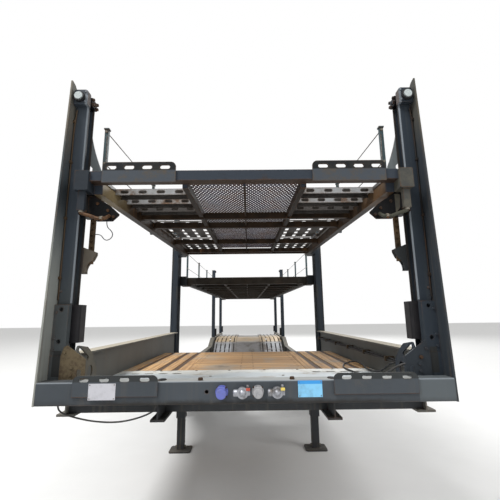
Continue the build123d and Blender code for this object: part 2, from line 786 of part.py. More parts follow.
def mudguard(s):
    """Rolled guard over a twin wheel, with the saddle that hangs it from the edge rail."""
    centre = Pos(front_face + s, tyre_radius)
    reach = 900.0
    side = reach * tan(radians(guard_angle))
    ring = Circle(guard_radius + guard_thickness) - Circle(guard_radius)
    arc = centre * (ring & Polygon((0, 0), (side, reach), (-side, reach), align=None))
    guard = extrude(Plane.YZ.offset(guard_x[0]) * arc, amount=guard_x[1] - guard_x[0], dir=(1, 0, 0))
    top = crest_floor - edge_rail_depth
    saddle = block((rail_inner + 7, rail_outer - 7), (s - 60, s + 60), (top - 14, top))
    return guard + (saddle - round_bar((rail_inner, rail_outer), s, tyre_radius, guard_radius + 1))


# Wheels
outer_wheel_x = wheel_outer_face - tyre_width / 2
inner_wheel_x = outer_wheel_x - twin_spacing
disc_x = (outer_wheel_x + inner_wheel_x) / 2
hub_end = outer_wheel_x - 20.0
drum_start = inner_wheel_x - 60.0
hand_hole_count = 8
hand_hole_radius = 22.0
hand_hole_circle = 170.0
rim_wall = 8.0


def tyre(x):
    """One tyre, centred at x: a ring with bulged walls and rounded shoulders."""
    half = tyre_width / 2
    # columns: distance in from the side face, radius
    wall = ((18, rim_radius), (0, rim_radius + 65), (7, tyre_radius - 36), (30, tyre_radius - 6), (58, tyre_radius))
    points = [(x - half + inset, radius) for inset, radius in wall]
    points += [(x + half - inset, radius) for inset, radius in reversed(wall)]
    return revolve(make_face(Polyline(*points, close=True)), Axis.X)


def rim():
    """Twin rim on a dished disc with hand holes, its hub and its brake drum."""
    half = tyre_width / 2 - 12
    inside = rim_radius - rim_wall
    bore = stub_radius + stub_clearance
    profile = ((inner_wheel_x - half, rim_radius), (outer_wheel_x + half, rim_radius), (outer_wheel_x + half, inside),
               (outer_wheel_x + 25, inside - 10), (disc_x + 40, inside - 10), (disc_x + 14, inside - 60),
               (disc_x + 14, 95), (hub_end - 10, 90), (hub_end, 75), (hub_end, 0), (stub_end + 6, 0),
               (stub_end + 6, bore), (drum_start, bore), (drum_start, 120), (disc_x - 14, 125),
               (disc_x - 14, inside - 60), (disc_x - 40, inside - 10), (inner_wheel_x - 25, inside - 10),
               (inner_wheel_x - half, inside))
    wheel = revolve(make_face(Polyline(*profile, close=True)), Axis.X)
    for index in range(hand_hole_count):
        turn = 360 * index / hand_hole_count
        wheel -= Rot(turn, 0, 0) * Pos(disc_x, 0, hand_hole_circle) * Rot(0, 90, 0) * Cylinder(hand_hole_radius, 60)
    return wheel


# Lamps and connectors on the front
lamp_radius = 29.0
lamp_rim = 6.0
lamp_depth = 34.0
lamp_x = spindle_x - 2.0
lamp_z = post_top - 62.0
lamp_front = front_post_s - lamp_bracket_thickness
socket_bore = 22.0
socket_depth = 45.0
coupling_head_radius = 33.0


def marker_lamp():
    body = front_plate(Pos(lamp_x, lamp_z) * Circle(lamp_radius + lamp_rim), (lamp_front - lamp_depth + 10, lamp_front))
    return body + front_plate(Pos(lamp_x, lamp_z) * Circle(lamp_radius), (lamp_front - lamp_depth, lamp_front))


def socket(x, radius):
    """Round electric socket: a body through the beam's wall, a flange and a cup that stands out."""
    body = front_plate(Pos(x, connector_z) * Circle(radius), (-socket_reach, beam_wall))
    body += front_plate(Pos(x, connector_z) * Circle(radius + 8), (-10, 0))
    return body - front_plate(Pos(x, connector_z) * Circle(socket_bore), (-socket_reach, socket_depth - socket_reach))


def air_coupling(x, radius):
    """Palm coupling: a stem through the beam's wall and a round head with a side lug."""
    stem = front_plate(Pos(x, connector_z) * Circle(radius), (-24, beam_wall))
    head = front_plate(Pos(x, connector_z) * Circle(coupling_head_radius), (-52, -24))
    return stem + head + front_plate(Pos(x + 26, connector_z) * Rectangle(36, 30), (-46, -30))


# Carriages: a block along the deck's side, its neck through a post's opening, its nut on the spindle
carriage_x = (side_beam_outer, box_inner - 9.0)
nut_half = 32.0
nut_height = 120.0
nut_drop = 20.0
neck_half = 26.0
spindle_gap = 5.0


def neck_and_nut(s, low):
    """The neck that reaches into a post at s, and the nut round its spindle, its underside at low."""
    nut = block((spindle_x - nut_half, spindle_x + nut_half), (s - nut_half, s + nut_half), (low, low + nut_height))
    nut += block((carriage_x[1], spindle_x), (s - neck_half, s + neck_half), (low + 10, low + nut_height - 10))
    return nut - Pos(spindle_x, front_face + s, low) * Cylinder(spindle_diameter / 2 + spindle_gap, 3 * nut_height)


def carriage(s, reach, z):
    """A carriage on the spindle at s: its block runs between two places, its underside at z."""
    return block(carriage_x, reach, (z, z + carriage_height)) + neck_and_nut(s, z + nut_drop)


def front_deck_height(s):
    """Height of the underside of the front deck's side beams."""
    return front_deck_z + front_deck_rise * s


def rear_deck_height(s):
    """Height of the underside of the rear deck's side beams."""
    return rear_deck_z + rear_deck_rise * (s - rear_deck_start_s)


# Front carriage: a box on the crossbeam's end, a rail behind it, and the housing of the nut
front_box_x = (side_beam_outer, 1146.0)
front_box_s = (0.0, 105.0)
front_box_z = (2445.0, 2585.0)
front_rail_s = (front_box_s[1], 410.0)
front_rail_z = (2510.0, front_box_z[1])
housing_s = (front_post_s - 38.0, front_post_back - 3.0)
housing_z = (2310.0, front_rail_z[0])
lug_x = (1075.0, 1122.0)
lug_s = (20.0, 50.0)
lug_z = (2309.0, front_box_z[0])
lock_bar_z = (1985.0, front_rail_z[0])
lock_bar_skin = 4.0
lock_bar_hole = 10.0
lock_bar_pitch = 45.0
lock_bar_hole_count = 9
housing_corner = 20.0
gusset_s = (272.0, 282.0)
# columns: place across and height of each corner of the gusset, before its inboard edge is hollowed
gusset_outline = ((side_beam_outer, front_rail_z[1]), (carriage_x[1], front_rail_z[1]), (carriage_x[1], 2720),
                  (1195, 2760), (1195, 2990), (side_beam_outer, 2990))
gusset_hollow = (-238.0, 3294.0)
gusset_hollow_radius = 1453.0
cheek_s = (housing_s[0] - 10.0, housing_s[0])
# columns: place across and height of each corner of the cheek plate
cheek_outline = ((1089, 2434), (1040, 2432), (930, 2362), (862, 2300), (910, 2253), (1020, 2253), (1081, 2333))
cheek_corner = 12.0
pipe_radius = 12.0
pipe_s = 35.0
pipe_bend = 14.0


def lock_bar():
    """Flat tube that hangs from a front carriage, with a row of round holes in its front wall."""
    centre = sum(lock_bar_x) / 2
    bar = Pos(centre, sum(lock_bar_z) / 2) * Rectangle(lock_bar_x[1] - lock_bar_x[0], lock_bar_z[1] - lock_bar_z[0])
    holes = [Pos(centre, lock_bar_z[0] + 30 + index * lock_bar_pitch) * Circle(lock_bar_hole)
             for index in range(lock_bar_hole_count)]
    return front_plate(bar, lock_bar_s) - front_plate(Sketch() + holes, (lock_bar_s[0], lock_bar_s[1] - lock_bar_skin))


def corner_gusset():
    """Tall gusset on the carriage's rail, behind the post, its inboard edge hollowed by an arc."""
    outline = Polygon(*gusset_outline, align=None) - Pos(*gusset_hollow) * Circle(gusset_hollow_radius)
    return front_plate(outline, gusset_s)


def carriage_pipe():
    """Bent pipe from the lug under the carriage, across and back to the cheek plate."""
    s = front_face + pipe_s
    path = FilletPolyline((1098, s, lug_z[0]), (1098, s, 2292), (1043, s, 2275), (989, s, 2254), (935, s, 2254),
                          (935, front_face + cheek_s[0], 2290), radius=pipe_bend)
    return sweep(Plane(path @ 0, z_dir=path % 0) * Circle(pipe_radius), path)


def front_carriage():
    """Carriage at a front post, with the lock bar, the gusset and the cheek plate."""
    box = Pos(sum(front_box_x) / 2, sum(front_box_z) / 2) * Rectangle(front_box_x[1] - front_box_x[0],
                                                                      front_box_z[1] - front_box_z[0])
    solid = front_plate(fillet(box.vertices(), channel_wall), front_box_s)
    solid += block(carriage_x, front_rail_s, front_rail_z)
    housing = block((side_beam_outer + channel_wall, carriage_x[1]), housing_s, housing_z)
    solid += fillet(housing.edges().filter_by(Axis.Z).group_by(Axis.X)[0], housing_corner)
    solid += neck_and_nut(sum(opening(front_post_s)) / 2, housing_z[0] + nut_drop)
    solid += block(lug_x, lug_s, lug_z) + lock_bar() + corner_gusset()
    cheek = fillet(Polygon(*cheek_outline, align=None).vertices(), cheek_corner)
    return solid + front_plate(cheek, cheek_s) + carriage_pipe()


front_deck_end_s = mid_post_s - carriage_gap
carriage_seat = 150.0
carriage_end = neck_half + 7.0


def front_carriages():
    """Four carriages of the front deck."""
    s = sum(opening(mid_post_s)) / 2
    rear = carriage(s, (front_deck_end_s - carriage_seat, s + carriage_end), front_deck_height(mid_post_s) + 5)
    return both_sides([front_carriage(), rear])


deck_cross_places = (1010.0, 1420.0, 2490.0, 3350.0)
deck_cross_half = 25.0
front_cross_s = (20.0, 100.0)
front_cross_z = (2514.0, 2585.0)
deck_stringer_x = (395.0, 435.0)
track_wall = 6.0
# heights above the underside of the side beams: crossmembers, stringers, track plates
cross_h = (30.0, 90.0)
stringer_h = (40.0, 100.0)
track_h = 115.0


def tilted(shape, z, rise):
    """Turn a deck piece, built level from the front face at height 0, to the deck's rise."""
    return Pos(0, front_face, z) * Rot(degrees(atan(rise)), 0, 0) * shape


def side_beam(start, end, taper):
    """Box beam along one side of a deck, open at its rear end, shallower at its front end."""
    points = ((start, 0), (end, 0), (end, side_beam_depth), (start + taper, side_beam_depth),
              (start, side_beam_depth - taper / 10))
    outline = Polygon(*points, align=None)
    hollow = offset(outline, -channel_wall, kind=Kind.INTERSECTION)
    hollow += Pos(end - channel_wall, side_beam_depth / 2) * Rectangle(3 * channel_wall,
                                                                       side_beam_depth - 2 * channel_wall)
    inner_face = side_beam_outer - side_beam_width
    beam = extrude(Plane.YZ.offset(inner_face) * outline, amount=side_beam_width, dir=(1, 0, 0))
    return beam - extrude(Plane.YZ.offset(inner_face + channel_wall) * hollow,
                          amount=side_beam_width - 2 * channel_wall, dir=(1, 0, 0))


def deck_frame(start, end, cross_places, taper):
    """Side beams, crossmembers and the two inner stringers of a deck, built level."""
    reach = side_beam_outer - channel_wall
    frame = None
    for beam in both_sides(side_beam(start, end, taper)):
        frame = beam if frame is None else frame + beam
    for y in cross_places:
        frame += channel((-reach, reach), (y - deck_cross_half, y + deck_cross_half), cross_h, track_wall)
    for side in (-1, 1):
        x = sorted((side * deck_stringer_x[0], side * deck_stringer_x[1]))
        frame += brick(x, (start, end - 20), stringer_h)
    return frame + brick((-8, 8), (start, end - 20), (cross_h[0] + 20, stringer_h[1] - 16))


def front_deck_frame():
    start = front_cross_s[1]
    end_cross = front_deck_end_s - 50
    frame = deck_frame(start, front_deck_end_s, deck_cross_places + (end_cross,), 600)
    frame = tilted(frame, front_deck_z, front_deck_rise)
    return frame + block((-side_beam_outer, side_beam_outer), front_cross_s, front_cross_z)


slat_width = 130.0
slat_pitch = 256.0
slat_start = 329.0
slat_count = 3
slat_web = (67.0, 115.0)
slat_oval = (62.0, 24.0)
track_columns = 4


def track_plate(x, y, rows, height):
    """Slotted plate of a wheel track, four columns of long holes wide."""
    width = x[1] - x[0]
    length = y[1] - y[0]
    sheet = Pos(sum(x) / 2, sum(y) / 2) * Rectangle(width, length)
    sheet -= [Pos(x[0] + (column + 0.5) * width / track_columns, y[0] + (row + 0.5) * length / rows)
              * Rectangle(0.3 * width / track_columns, 0.62 * length / rows)
              for row in range(rows) for column in range(track_columns)]
    return extrude(Plane.XY.offset(height) * sheet, amount=deck_plate)


def track_curbs(x, y):
    """Upright strips along both edges of a wheel track."""
    return [brick((x[0], x[0] + track_wall), y, (cross_h[1], track_h)),
            brick((x[1] - track_wall, x[1]), y, (cross_h[1], track_h))]


# columns: start, end and rows of holes of each slotted plate of the front deck
front_plates = ((1035.0, 1395.0, 2), (1445.0, 2465.0, 5), (2515.0, 3560.0, 5))


def front_deck_tracks():
    """Wheel tracks: slats with oval holes in their front webs, slotted plates behind them."""
    pieces = None
    for side in (-1, 1):
        x = sorted((side * deck_track_inner, side * deck_track_outer))
        width = x[1] - x[0]
        for curb in track_curbs(x, (front_cross_s[1] + 10, front_plates[-1][1])):
            pieces = curb if pieces is None else pieces + curb
        for index in range(slat_count):
            y = slat_start + index * slat_pitch
            pieces += brick(x, (y, y + slat_width), (slat_web[1] - deck_plate, slat_web[1]))
            pieces += brick(x, (y + slat_width - deck_plate, y + slat_width), slat_web)
            web = Pos(sum(x) / 2, sum(slat_web) / 2) * Rectangle(width, slat_web[1] - slat_web[0])
            web -= [Pos(x[0] + (hole + 0.5) * width / track_columns, sum(slat_web) / 2) * SlotOverall(*slat_oval)
                    for hole in range(track_columns)]
            pieces += extrude(Plane.XZ.offset(-y) * web, amount=deck_plate, dir=(0, 1, 0))
        for start, end, rows in front_plates:
            pieces += track_plate(x, (start, end), rows, track_h)
    return tilted(pieces, front_deck_z, front_deck_rise)


mesh_thickness = 4.0
mesh_overlap = 30.0
mesh_columns = 8
mesh_pitch = 200.0
mesh_strand = 14.0


def mesh_panel(start, end):
    """Grating between the inner stringers, which lies on them: a thin sheet with a grid of openings."""
    half = deck_stringer_x[0] + mesh_overlap
    rows = round((end - start) / mesh_pitch)
    pitch = (2 * deck_stringer_x[0] / mesh_columns, (end - start) / rows)
    sheet = Pos(0, (start + end) / 2) * Rectangle(2 * half, end - start)
    sheet -= [Pos((column + 0.5) * pitch[0] - deck_stringer_x[0], start + (row + 0.5) * pitch[1])
              * Rectangle(pitch[0] - mesh_strand, pitch[1] - mesh_strand)
              for row in range(rows) for column in range(mesh_columns)]
    return extrude(Plane.XY.offset(stringer_h[1]) * sheet, amount=mesh_thickness)


deck_hook_x = (466.0, 967.0)
deck_hook_z = (front_cross_z[0] - 14.0, front_cross_z[1] + 60.0)
deck_hook_slots = (540.0, 662.0, 784.0, 906.0)
deck_hook_slot_z = front_cross_z[1] + 22.0
deck_hook_slot = (68.0, 28.0)

stanchion_width = 30.0
stanchion_x = 1138.0
stanchion_foot = 60.0
stanchion_height = 620.0
front_stanchion_places = (440.0, 1850.0, 3250.0)
rear_stanchion_places = (4350.0, 5900.0, 7450.0, 9000.0, 10750.0, 12300.0)


def stanchion(s, low):
    """Upright of the side rope, on a foot that reaches out from the side beam."""
    half = stanchion_width / 2
    top = low + stanchion_height
    post = block((stanchion_x - half, stanchion_x + half), (s - half, s + half), (low, top))
    post += block((side_beam_outer, stanchion_x + half), (s - half, s + half), (low, low + stanchion_foot))
    return post + block((stanchion_x - half - 6, stanchion_x + half + 6), (s - half - 6, s + half + 6), (top, top + 12))


rear_cross_places = (4700.0, 5500.0, 6300.0, 7100.0, 7900.0, 8700.0, 9500.0, 10400.0, 11200.0, 12000.0, 12700.0)
rear_deck_length = rear_deck_end_s - rear_deck_start_s
rear_end_bar = 90.0
third_carriage_half = 90.0


def on_rear_deck(shape):
    """Turn and move a piece, built level from the rear deck's front end, onto the rear deck."""
    return Pos(0, rear_deck_start_s, 0) * tilted(shape, rear_deck_z, rear_deck_rise)


def rear_deck_frame():
    crosses = tuple(s - rear_deck_start_s for s in rear_cross_places)
    frame = deck_frame(0, rear_deck_length, crosses, 0.01)
    reach = side_beam_outer - channel_wall
    for y in ((0, rear_end_bar), (rear_deck_length - rear_end_bar, rear_deck_length)):
        frame += brick((-reach, reach), y, (channel_wall + 20, side_beam_depth))
    return on_rear_deck(frame)


def rear_deck_tracks():
    """Slotted plates along both sides, each over two bays of the frame."""
    pieces = None
    starts = [s - rear_deck_start_s for s in rear_cross_places[1::2]]
    ends = [rear_end_bar] + starts + [rear_deck_length - rear_end_bar]
    for side in (-1, 1):
        x = sorted((side * deck_track_inner, side * deck_track_outer))
        for curb in track_curbs(x, (rear_end_bar + 10, rear_deck_length - rear_end_bar - 10)):
            pieces = curb if pieces is None else pieces + curb
        for start, end in zip(ends[:-1], ends[1:]):
            pieces += track_plate(x, (start + 4, end - 4), 5, track_h)
    return on_rear_deck(pieces)


def rear_carriages():
    """Six carriages of the rear deck: at the mid posts' rear openings and at both pairs behind."""
    mid_s = sum(opening(mid_post_s + mid_post_depth, from_back=True)) / 2
    third_s = sum(opening(third_post_s)) / 2
    tail_s = sum(opening(tail_post_s)) / 2
    mid = carriage(mid_s, (mid_s - carriage_end, rear_deck_start_s + carriage_seat), rear_deck_z + 2)
    third = carriage(third_s, (third_s - third_carriage_half, third_s + third_carriage_half),
                     rear_deck_height(third_post_s) + 2)
    tail = carriage(tail_s, (rear_deck_end_s - carriage_seat, tail_s + carriage_end), rear_deck_height(tail_post_s) + 2)
    return both_sides([mid, third, tail])


# Loading ramps
ramp_x = (110.0, 430.0)
ramp_z = (625.0, 690.0)
ramp_s = (11650.0, 13690.0)
ramp_side = 30.0
rung_count = 12


def ramp():
    """Ladder ramp: two side bars joined by rungs."""
    frame = block((ramp_x[0], ramp_x[0] + ramp_side), ramp_s, ramp_z)
    frame += block((ramp_x[1] - ramp_side, ramp_x[1]), ramp_s, ramp_z)
    pitch = (ramp_s[1] - ramp_s[0]) / rung_count
    for index in range(rung_count):
        s = ramp_s[0] + (index + 0.5) * pitch
        frame += block(ramp_x, (s - 22, s + 22), (ramp_z[0] + 15, ramp_z[1] - 8))
    return frame


# Free cables and hoses. Each route is a list of points: across, back from the front face, height
cable_diameter = 10.0
hose_diameter = 14.0
loop_diameter = 6.0
beam_cable_route = ((-1150, 60, beam_bottom), (-1150, 60, 1052), (-1100, 57, 1026), (-1010, 52, 1003),
                    (-905, 48, 986), (-790, 50, 980), (-690, 53, 993), (-600, 57, 1020), (-550, 60, 1050),
                    (-550, 60, beam_bottom))
deck_hose_route = ((bracket_x[0], 150, 1290), (1035, 150, 1290), (985, 205, 1252), (966, 335, 1192), (970, 480, 1150),
                   (966, 650, 1131), (925, 830, 1128), (893, 1010, 1129), (902, 1190, 1128), (948, 1350, 1130),
                   (1020, 1450, 1134), (1086, 1430, 1150), (1108, 1310, 1148), (1092, 1150, 1131),
                   (1076, 980, 1128), (1084, 820, 1136), (1086, 690, 1168), (1094, 600, 1216), (1120, 556, 1244),
                   (web_face, 556, 1244))
carriage_loop_route = ((-950, sum(cheek_s) / 2, 2253), (-950, sum(cheek_s) / 2, 2215), (-920, 125, 2190), (-925, 165, 2168),
                       (-960, 210, 2152), (-1005, 255, 2152), (-1040, 285, 2170), (-1068, 293, 2208),
                       (-lock_bar_x[0], 293, 2208))


def free_cord(route, diameter):
    """A tube along straight runs and tangent arcs, each arc as large as its two runs allow."""
    points = [Vector(x, front_face + s, z) for x, s, z in route]
    radii = []
    for before, here, after in zip(points, points[1:], points[2:]):
        run = min((here - before).length, (after - here).length)
        turn = radians((here - before).get_angle(after - here))
        radii.append(0.45 * run / tan(turn / 2))
    path = FilletPolyline(*points, radius=radii)
    print("cord", diameter, "length", round(path.length), "least radius", round(min(radii)))
    return sweep(Plane(path @ 0, z_dir=path % 0) * Circle(diameter / 2), path)


save("front_beam", front_beam())
save("beam_hook_plates", both_sides(hook_plate(beam_hook_x, beam_hook_z, (-hook_plate_thickness, 0),
                                               beam_hook_slots, beam_hook_slot_z, beam_hook_slot)))
save("front_posts", both_sides(front_post() + front_knee() + foot_bracket() + lock_guide()))
save("mid_posts", both_sides(mid_post()))
save("rear_posts", both_sides([plain_post(third_post_s, edge_rail_top), plain_post(tail_post_s, edge_rail_top)]))
# columns: the opening the spindle stands in, height of its foot, height of its drive housing
spindle_places = (
    (opening(front_post_s), beam_top, beam_top + 220.0),
    (opening(mid_post_s), well_rail_bottom, 720.0),
    (opening(mid_post_s + mid_post_depth, from_back=True), well_rail_bottom, 720.0),
    (opening(third_post_s), edge_rail_top, edge_rail_top + 40.0),
    (opening(tail_post_s), edge_rail_top, edge_rail_top + 40.0),
)
save("lift_spindles", both_sides([spindle(sum(place) / 2, low, drive_low) for place, low, drive_low in spindle_places]))
save("gooseneck_rails", both_sides(gooseneck_rail() + neck_gusset()))
save("well_rails", both_sides(well_rail()))
save("edge_rails", both_sides(edge_rail()))
save("inner_rails", inner_rails())
save("platform_frame", platform_frame())
save("platform_sheet", platform_sheet())
save("platform_boards", platform_boards())
save("coupling_plate", coupling_plate())
save("kingpin", kingpin())
legs = leg_shaft()
for leg in both_sides(landing_leg()):
    legs += leg
save("landing_legs", legs)
save("well_tracks", well_tracks())
save("well_crossmembers", well_crossmembers())
save("hump_tracks", hump_tracks())
save("hump_panel", hump_panel())
save("rear_beam", rear_beam())
save("rear_lamps", rear_lamps())
save("axles", [axle(s) for s in axle_places])
save("suspension_arms", both_sides([suspension_arm(s) for s in axle_places]))
save("air_springs", both_sides([air_spring(s) for s in axle_places]))
save("mudguards", both_sides([mudguard(s) for s in axle_places]))
save("marker_lamps", both_sides(marker_lamp()))
save("electric_sockets", [socket(x, radius) for name, x, radius in connectors if "socket" in name])
save("air_couplings", [air_coupling(x, radius) for name, x, radius in connectors if "coupling" in name])
save("beam_cable", free_cord(beam_cable_route, cable_diameter))
save("deck_hose", free_cord(deck_hose_route, hose_diameter))

save("front_deck_frame", front_deck_frame())
save("front_deck_tracks", front_deck_tracks())
save("front_deck_mesh", tilted(mesh_panel(front_cross_s[1] + 10, deck_cross_places[-1]), front_deck_z,
                               front_deck_rise))
save("front_carriages", front_carriages())
save("deck_hook_plates", both_sides(hook_plate(deck_hook_x, deck_hook_z, (front_cross_s[0] - hook_plate_thickness,
                                                                          front_cross_s[0]),
                                               deck_hook_slots, deck_hook_slot_z, deck_hook_slot)))
save("front_stanchions", both_sides([stanchion(s, front_deck_height(s) + side_beam_depth - 100)
                                     for s in front_stanchion_places]))
save("carriage_loop", free_cord(carriage_loop_route, loop_diameter))

save("rear_deck_frame", rear_deck_frame())
save("rear_deck_tracks", rear_deck_tracks())
save("rear_deck_mesh", on_rear_deck(mesh_panel(rear_end_bar + 10, rear_deck_length - rear_end_bar - 10)))
save("rear_carriages", rear_carriages())
save("rear_stanchions", both_sides([stanchion(s, rear_deck_height(s) + side_beam_depth - 100)
                                    for s in rear_stanchion_places]))

for number, s in enumerate(axle_places, start=1):
    at_wheel = Pos(0, front_face + s, tyre_radius)
    tyres = [at_wheel * tyre(outer_wheel_x), at_wheel * tyre(inner_wheel_x)]
    hub = at_wheel * rim()
    save(f"tyres_{number}_right", tyres)
    save(f"tyres_{number}_left", [mirror(shape, about=Plane.YZ) for shape in tyres])
    save(f"rim_{number}_right", hub)
    save(f"rim_{number}_left", mirror(hub, about=Plane.YZ))

save("ramp_right", ramp())
save("ramp_left", mirror(ramp(), about=Plane.YZ))
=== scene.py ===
import bmesh
import bpy
from math import cos, pi, radians, sin
from mathutils import Euler, Matrix, Vector


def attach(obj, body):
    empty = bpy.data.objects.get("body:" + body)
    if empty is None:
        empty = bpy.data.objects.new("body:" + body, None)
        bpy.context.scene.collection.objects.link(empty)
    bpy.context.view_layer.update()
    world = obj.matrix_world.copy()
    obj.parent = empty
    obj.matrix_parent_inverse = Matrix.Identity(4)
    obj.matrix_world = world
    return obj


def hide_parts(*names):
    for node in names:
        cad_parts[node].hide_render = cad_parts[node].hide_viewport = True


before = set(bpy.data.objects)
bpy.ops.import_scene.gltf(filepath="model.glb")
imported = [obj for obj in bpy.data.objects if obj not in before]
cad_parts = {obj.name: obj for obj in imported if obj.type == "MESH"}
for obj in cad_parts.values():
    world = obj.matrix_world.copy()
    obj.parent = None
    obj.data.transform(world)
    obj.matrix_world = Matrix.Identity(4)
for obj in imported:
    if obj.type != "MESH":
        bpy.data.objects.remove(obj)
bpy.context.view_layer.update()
scene = bpy.context.scene
scene.view_settings.view_transform = "Standard"

# Chassis
# Beams, rails, posts and crossmembers are folded and welded steel plate in slate grey paint.
# The paint is dusty on top, streaked down the sides, and chipped to rust along edges and undersides.
FRONT_FACE = -6.815


class Value:
    """A socket whose sums, products and comparisons add Math nodes."""

    def __init__(self, tree, socket):
        self.tree, self.socket = tree, socket

    def node(self, kind, settings=None, inputs=None, output=0):
        return add_node(self.tree, kind, settings, inputs, output)

    def _math(self, operation, first, second=0.0, clamp=False):
        settings = {"operation": operation, "use_clamp": clamp}
        return self.node("ShaderNodeMath", settings, {0: first, 1: second})

    def __add__(self, other): return self._math("ADD", self, other)
    __radd__ = __add__
    def __sub__(self, other): return self._math("SUBTRACT", self, other)
    def __rsub__(self, other): return self._math("SUBTRACT", other, self)
    def __mul__(self, other): return self._math("MULTIPLY", self, other)
    __rmul__ = __mul__
    def __truediv__(self, other): return self._math("DIVIDE", self, other)
    def __pow__(self, other): return self._math("POWER", self, other)
    def __lt__(self, other): return self._math("LESS_THAN", self, other)
    def __gt__(self, other): return self._math("GREATER_THAN", self, other)
    def __mod__(self, other): return self._math("FLOORED_MODULO", self, other)
    def clamp(self): return self._math("ADD", self, 0.0, True)
    def max(self, other): return self._math("MAXIMUM", self, other)
    def abs(self): return self._math("ABSOLUTE", self)
    def floor(self): return self._math("FLOOR", self)
    def sine(self): return self._math("SINE", self)
    def ramp(self, low, high, to_low=0.0, to_high=1.0):
        return self.node("ShaderNodeMapRange", {"interpolation_type": "SMOOTHSTEP"},
                         {"Value": self, "From Min": low, "From Max": high,
                          "To Min": to_low, "To Max": to_high})


def add_node(tree, kind, settings=None, inputs=None, output=0):
    node = tree.nodes.new(kind)
    for name, setting in (settings or {}).items():
        setattr(node, name, setting)
    for name, value in (inputs or {}).items():
        socket = node.inputs[name]
        if isinstance(value, Value):
            tree.links.new(value.socket, socket)
        elif isinstance(value, (tuple, list)):
            lacks_alpha = len(socket.default_value) == 4 and len(value) == 3
            socket.default_value = (*value, 1.0) if lacks_alpha else value
        else:
            socket.default_value = value
    return Value(tree, node.outputs[output])


class Finish:
    """A material being put together: its coordinates, its noises and its shader."""

    def __init__(self, name, **constants):
        self.material = bpy.data.materials.new(name)
        self.material.use_nodes = True
        self.tree = self.material.node_tree
        self.shader = self.tree.nodes["Principled BSDF"]
        for socket, value in constants.items():
            socket = self.shader.inputs[socket.replace("_", " ")]
            socket.default_value = value if not isinstance(value, tuple) else (*value, 1.0)
        self.place = self.node("ShaderNodeTexCoord", output="Object")
        self.x, self.y, self.z = (self.split(self.place, axis) for axis in "XYZ")
        self.up = self.split(self.node("ShaderNodeNewGeometry", output="Normal"), "Z")

    def node(self, kind, settings=None, inputs=None, output=0):
        return add_node(self.tree, kind, settings, inputs, output)

    def split(self, vector, axis):
        return self.node("ShaderNodeSeparateXYZ", {}, {0: vector}, "XYZ".index(axis))

    def noise(self, scale, detail=4.0, rough=0.55, stretch=None):
        place = self.place
        if stretch:
            place = self.node("ShaderNodeMapping", {}, {"Vector": self.place, "Scale": stretch})
        return self.node("ShaderNodeTexNoise", {}, {"Vector": place, "Scale": scale, "Detail": detail,
                                                    "Roughness": rough})

    def random(self, number):
        return self.node("ShaderNodeTexWhiteNoise", {"noise_dimensions": "1D"}, {"W": number})

    def worn_edges(self, radius=0.012):
        """1 where a sharp edge is near."""
        rounded = self.node("ShaderNodeBevel", {"samples": 4}, {"Radius": radius})
        normal = self.node("ShaderNodeNewGeometry", output="Normal")
        turn = self.node("ShaderNodeVectorMath", {"operation": "DOT_PRODUCT"}, {0: rounded, 1: normal}, 1)
        return (1.0 - turn).ramp(0.02, 0.20)

    def mix(self, mask, first, second, blend="MIX"):
        return self.node("ShaderNodeMix", {"data_type": "RGBA", "blend_type": blend},
                         {0: mask, 6: first, 7: second}, 2)

    def bump(self, height, strength=0.3, distance=0.002):
        return self.node("ShaderNodeBump", {}, {"Height": height, "Strength": strength, "Distance": distance})

    def set(self, **links):
        for socket, value in links.items():
            self.tree.links.new(value.socket, self.shader.inputs[socket.replace("_", " ")])
        return self.material


def srgb(r, g, b):
    return tuple(((c / 255 + 0.055) / 1.055) ** 2.4 if c > 10 else c / 255 / 12.92 for c in (r, g, b))


def shade(colour, factor):
    return tuple(c * factor for c in colour)


def paint(material, *nodes):
    """Give CAD nodes their finish."""
    for node in nodes:
        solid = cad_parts[node]
        solid.data.materials.clear()
        solid.data.materials.append(material)


def painted_steel(name, colour, rust_amount=0.5, dust=0.35, streaks=0.5, gloss=0.42, marks=None):
    """Paint over steel; marks is a function that adds a piece's own wear, and on some pieces painted light
    and shade, to the base colour.
    """
    f = Finish(name, IOR=1.22)
    broad = f.noise(1.3, 3.0)
    fine = f.noise(38.0, 6.0, 0.65)
    runs = f.noise(1.0, 5.0, 0.6, stretch=(26.0, 26.0, 1.2))
    patches = f.noise(5.5, 8.0, 0.68)
    worn = f.worn_edges() * patches.ramp(0.42, 0.62)
    under = (0.0 - f.up).ramp(0.3, 0.95)
    top = f.up.ramp(0.5, 0.95)
    base = f.mix(broad.ramp(0.3, 0.7), colour, shade(colour, 0.78))
    base = f.mix(runs.ramp(0.52, 0.72) * (0.5 * streaks), base, shade(srgb(112, 104, 92), 0.8))
    base = f.mix(top * (dust * patches.ramp(0.25, 0.7)), base, srgb(134, 128, 116))
    rust_tone = f.mix(fine.ramp(0.35, 0.65), srgb(58, 39, 26), srgb(100, 68, 42))
    rusty = (under * patches.ramp(0.40, 0.52) * rust_amount * 1.3 + worn * 0.8
             + patches.ramp(0.62, 0.70) * runs.ramp(0.5, 0.6) * rust_amount).clamp()
    base = f.mix(rusty, base, rust_tone)
    base = marks(f, base) if marks else base
    rough = gloss + 0.16 * broad + 0.32 * rusty + 0.12 * top
    height = fine * (0.12 + 0.9 * rusty) + patches * 0.25
    return f.set(Base_Color=base, Roughness=rough, Normal=f.bump(height, 0.35, 0.0025))


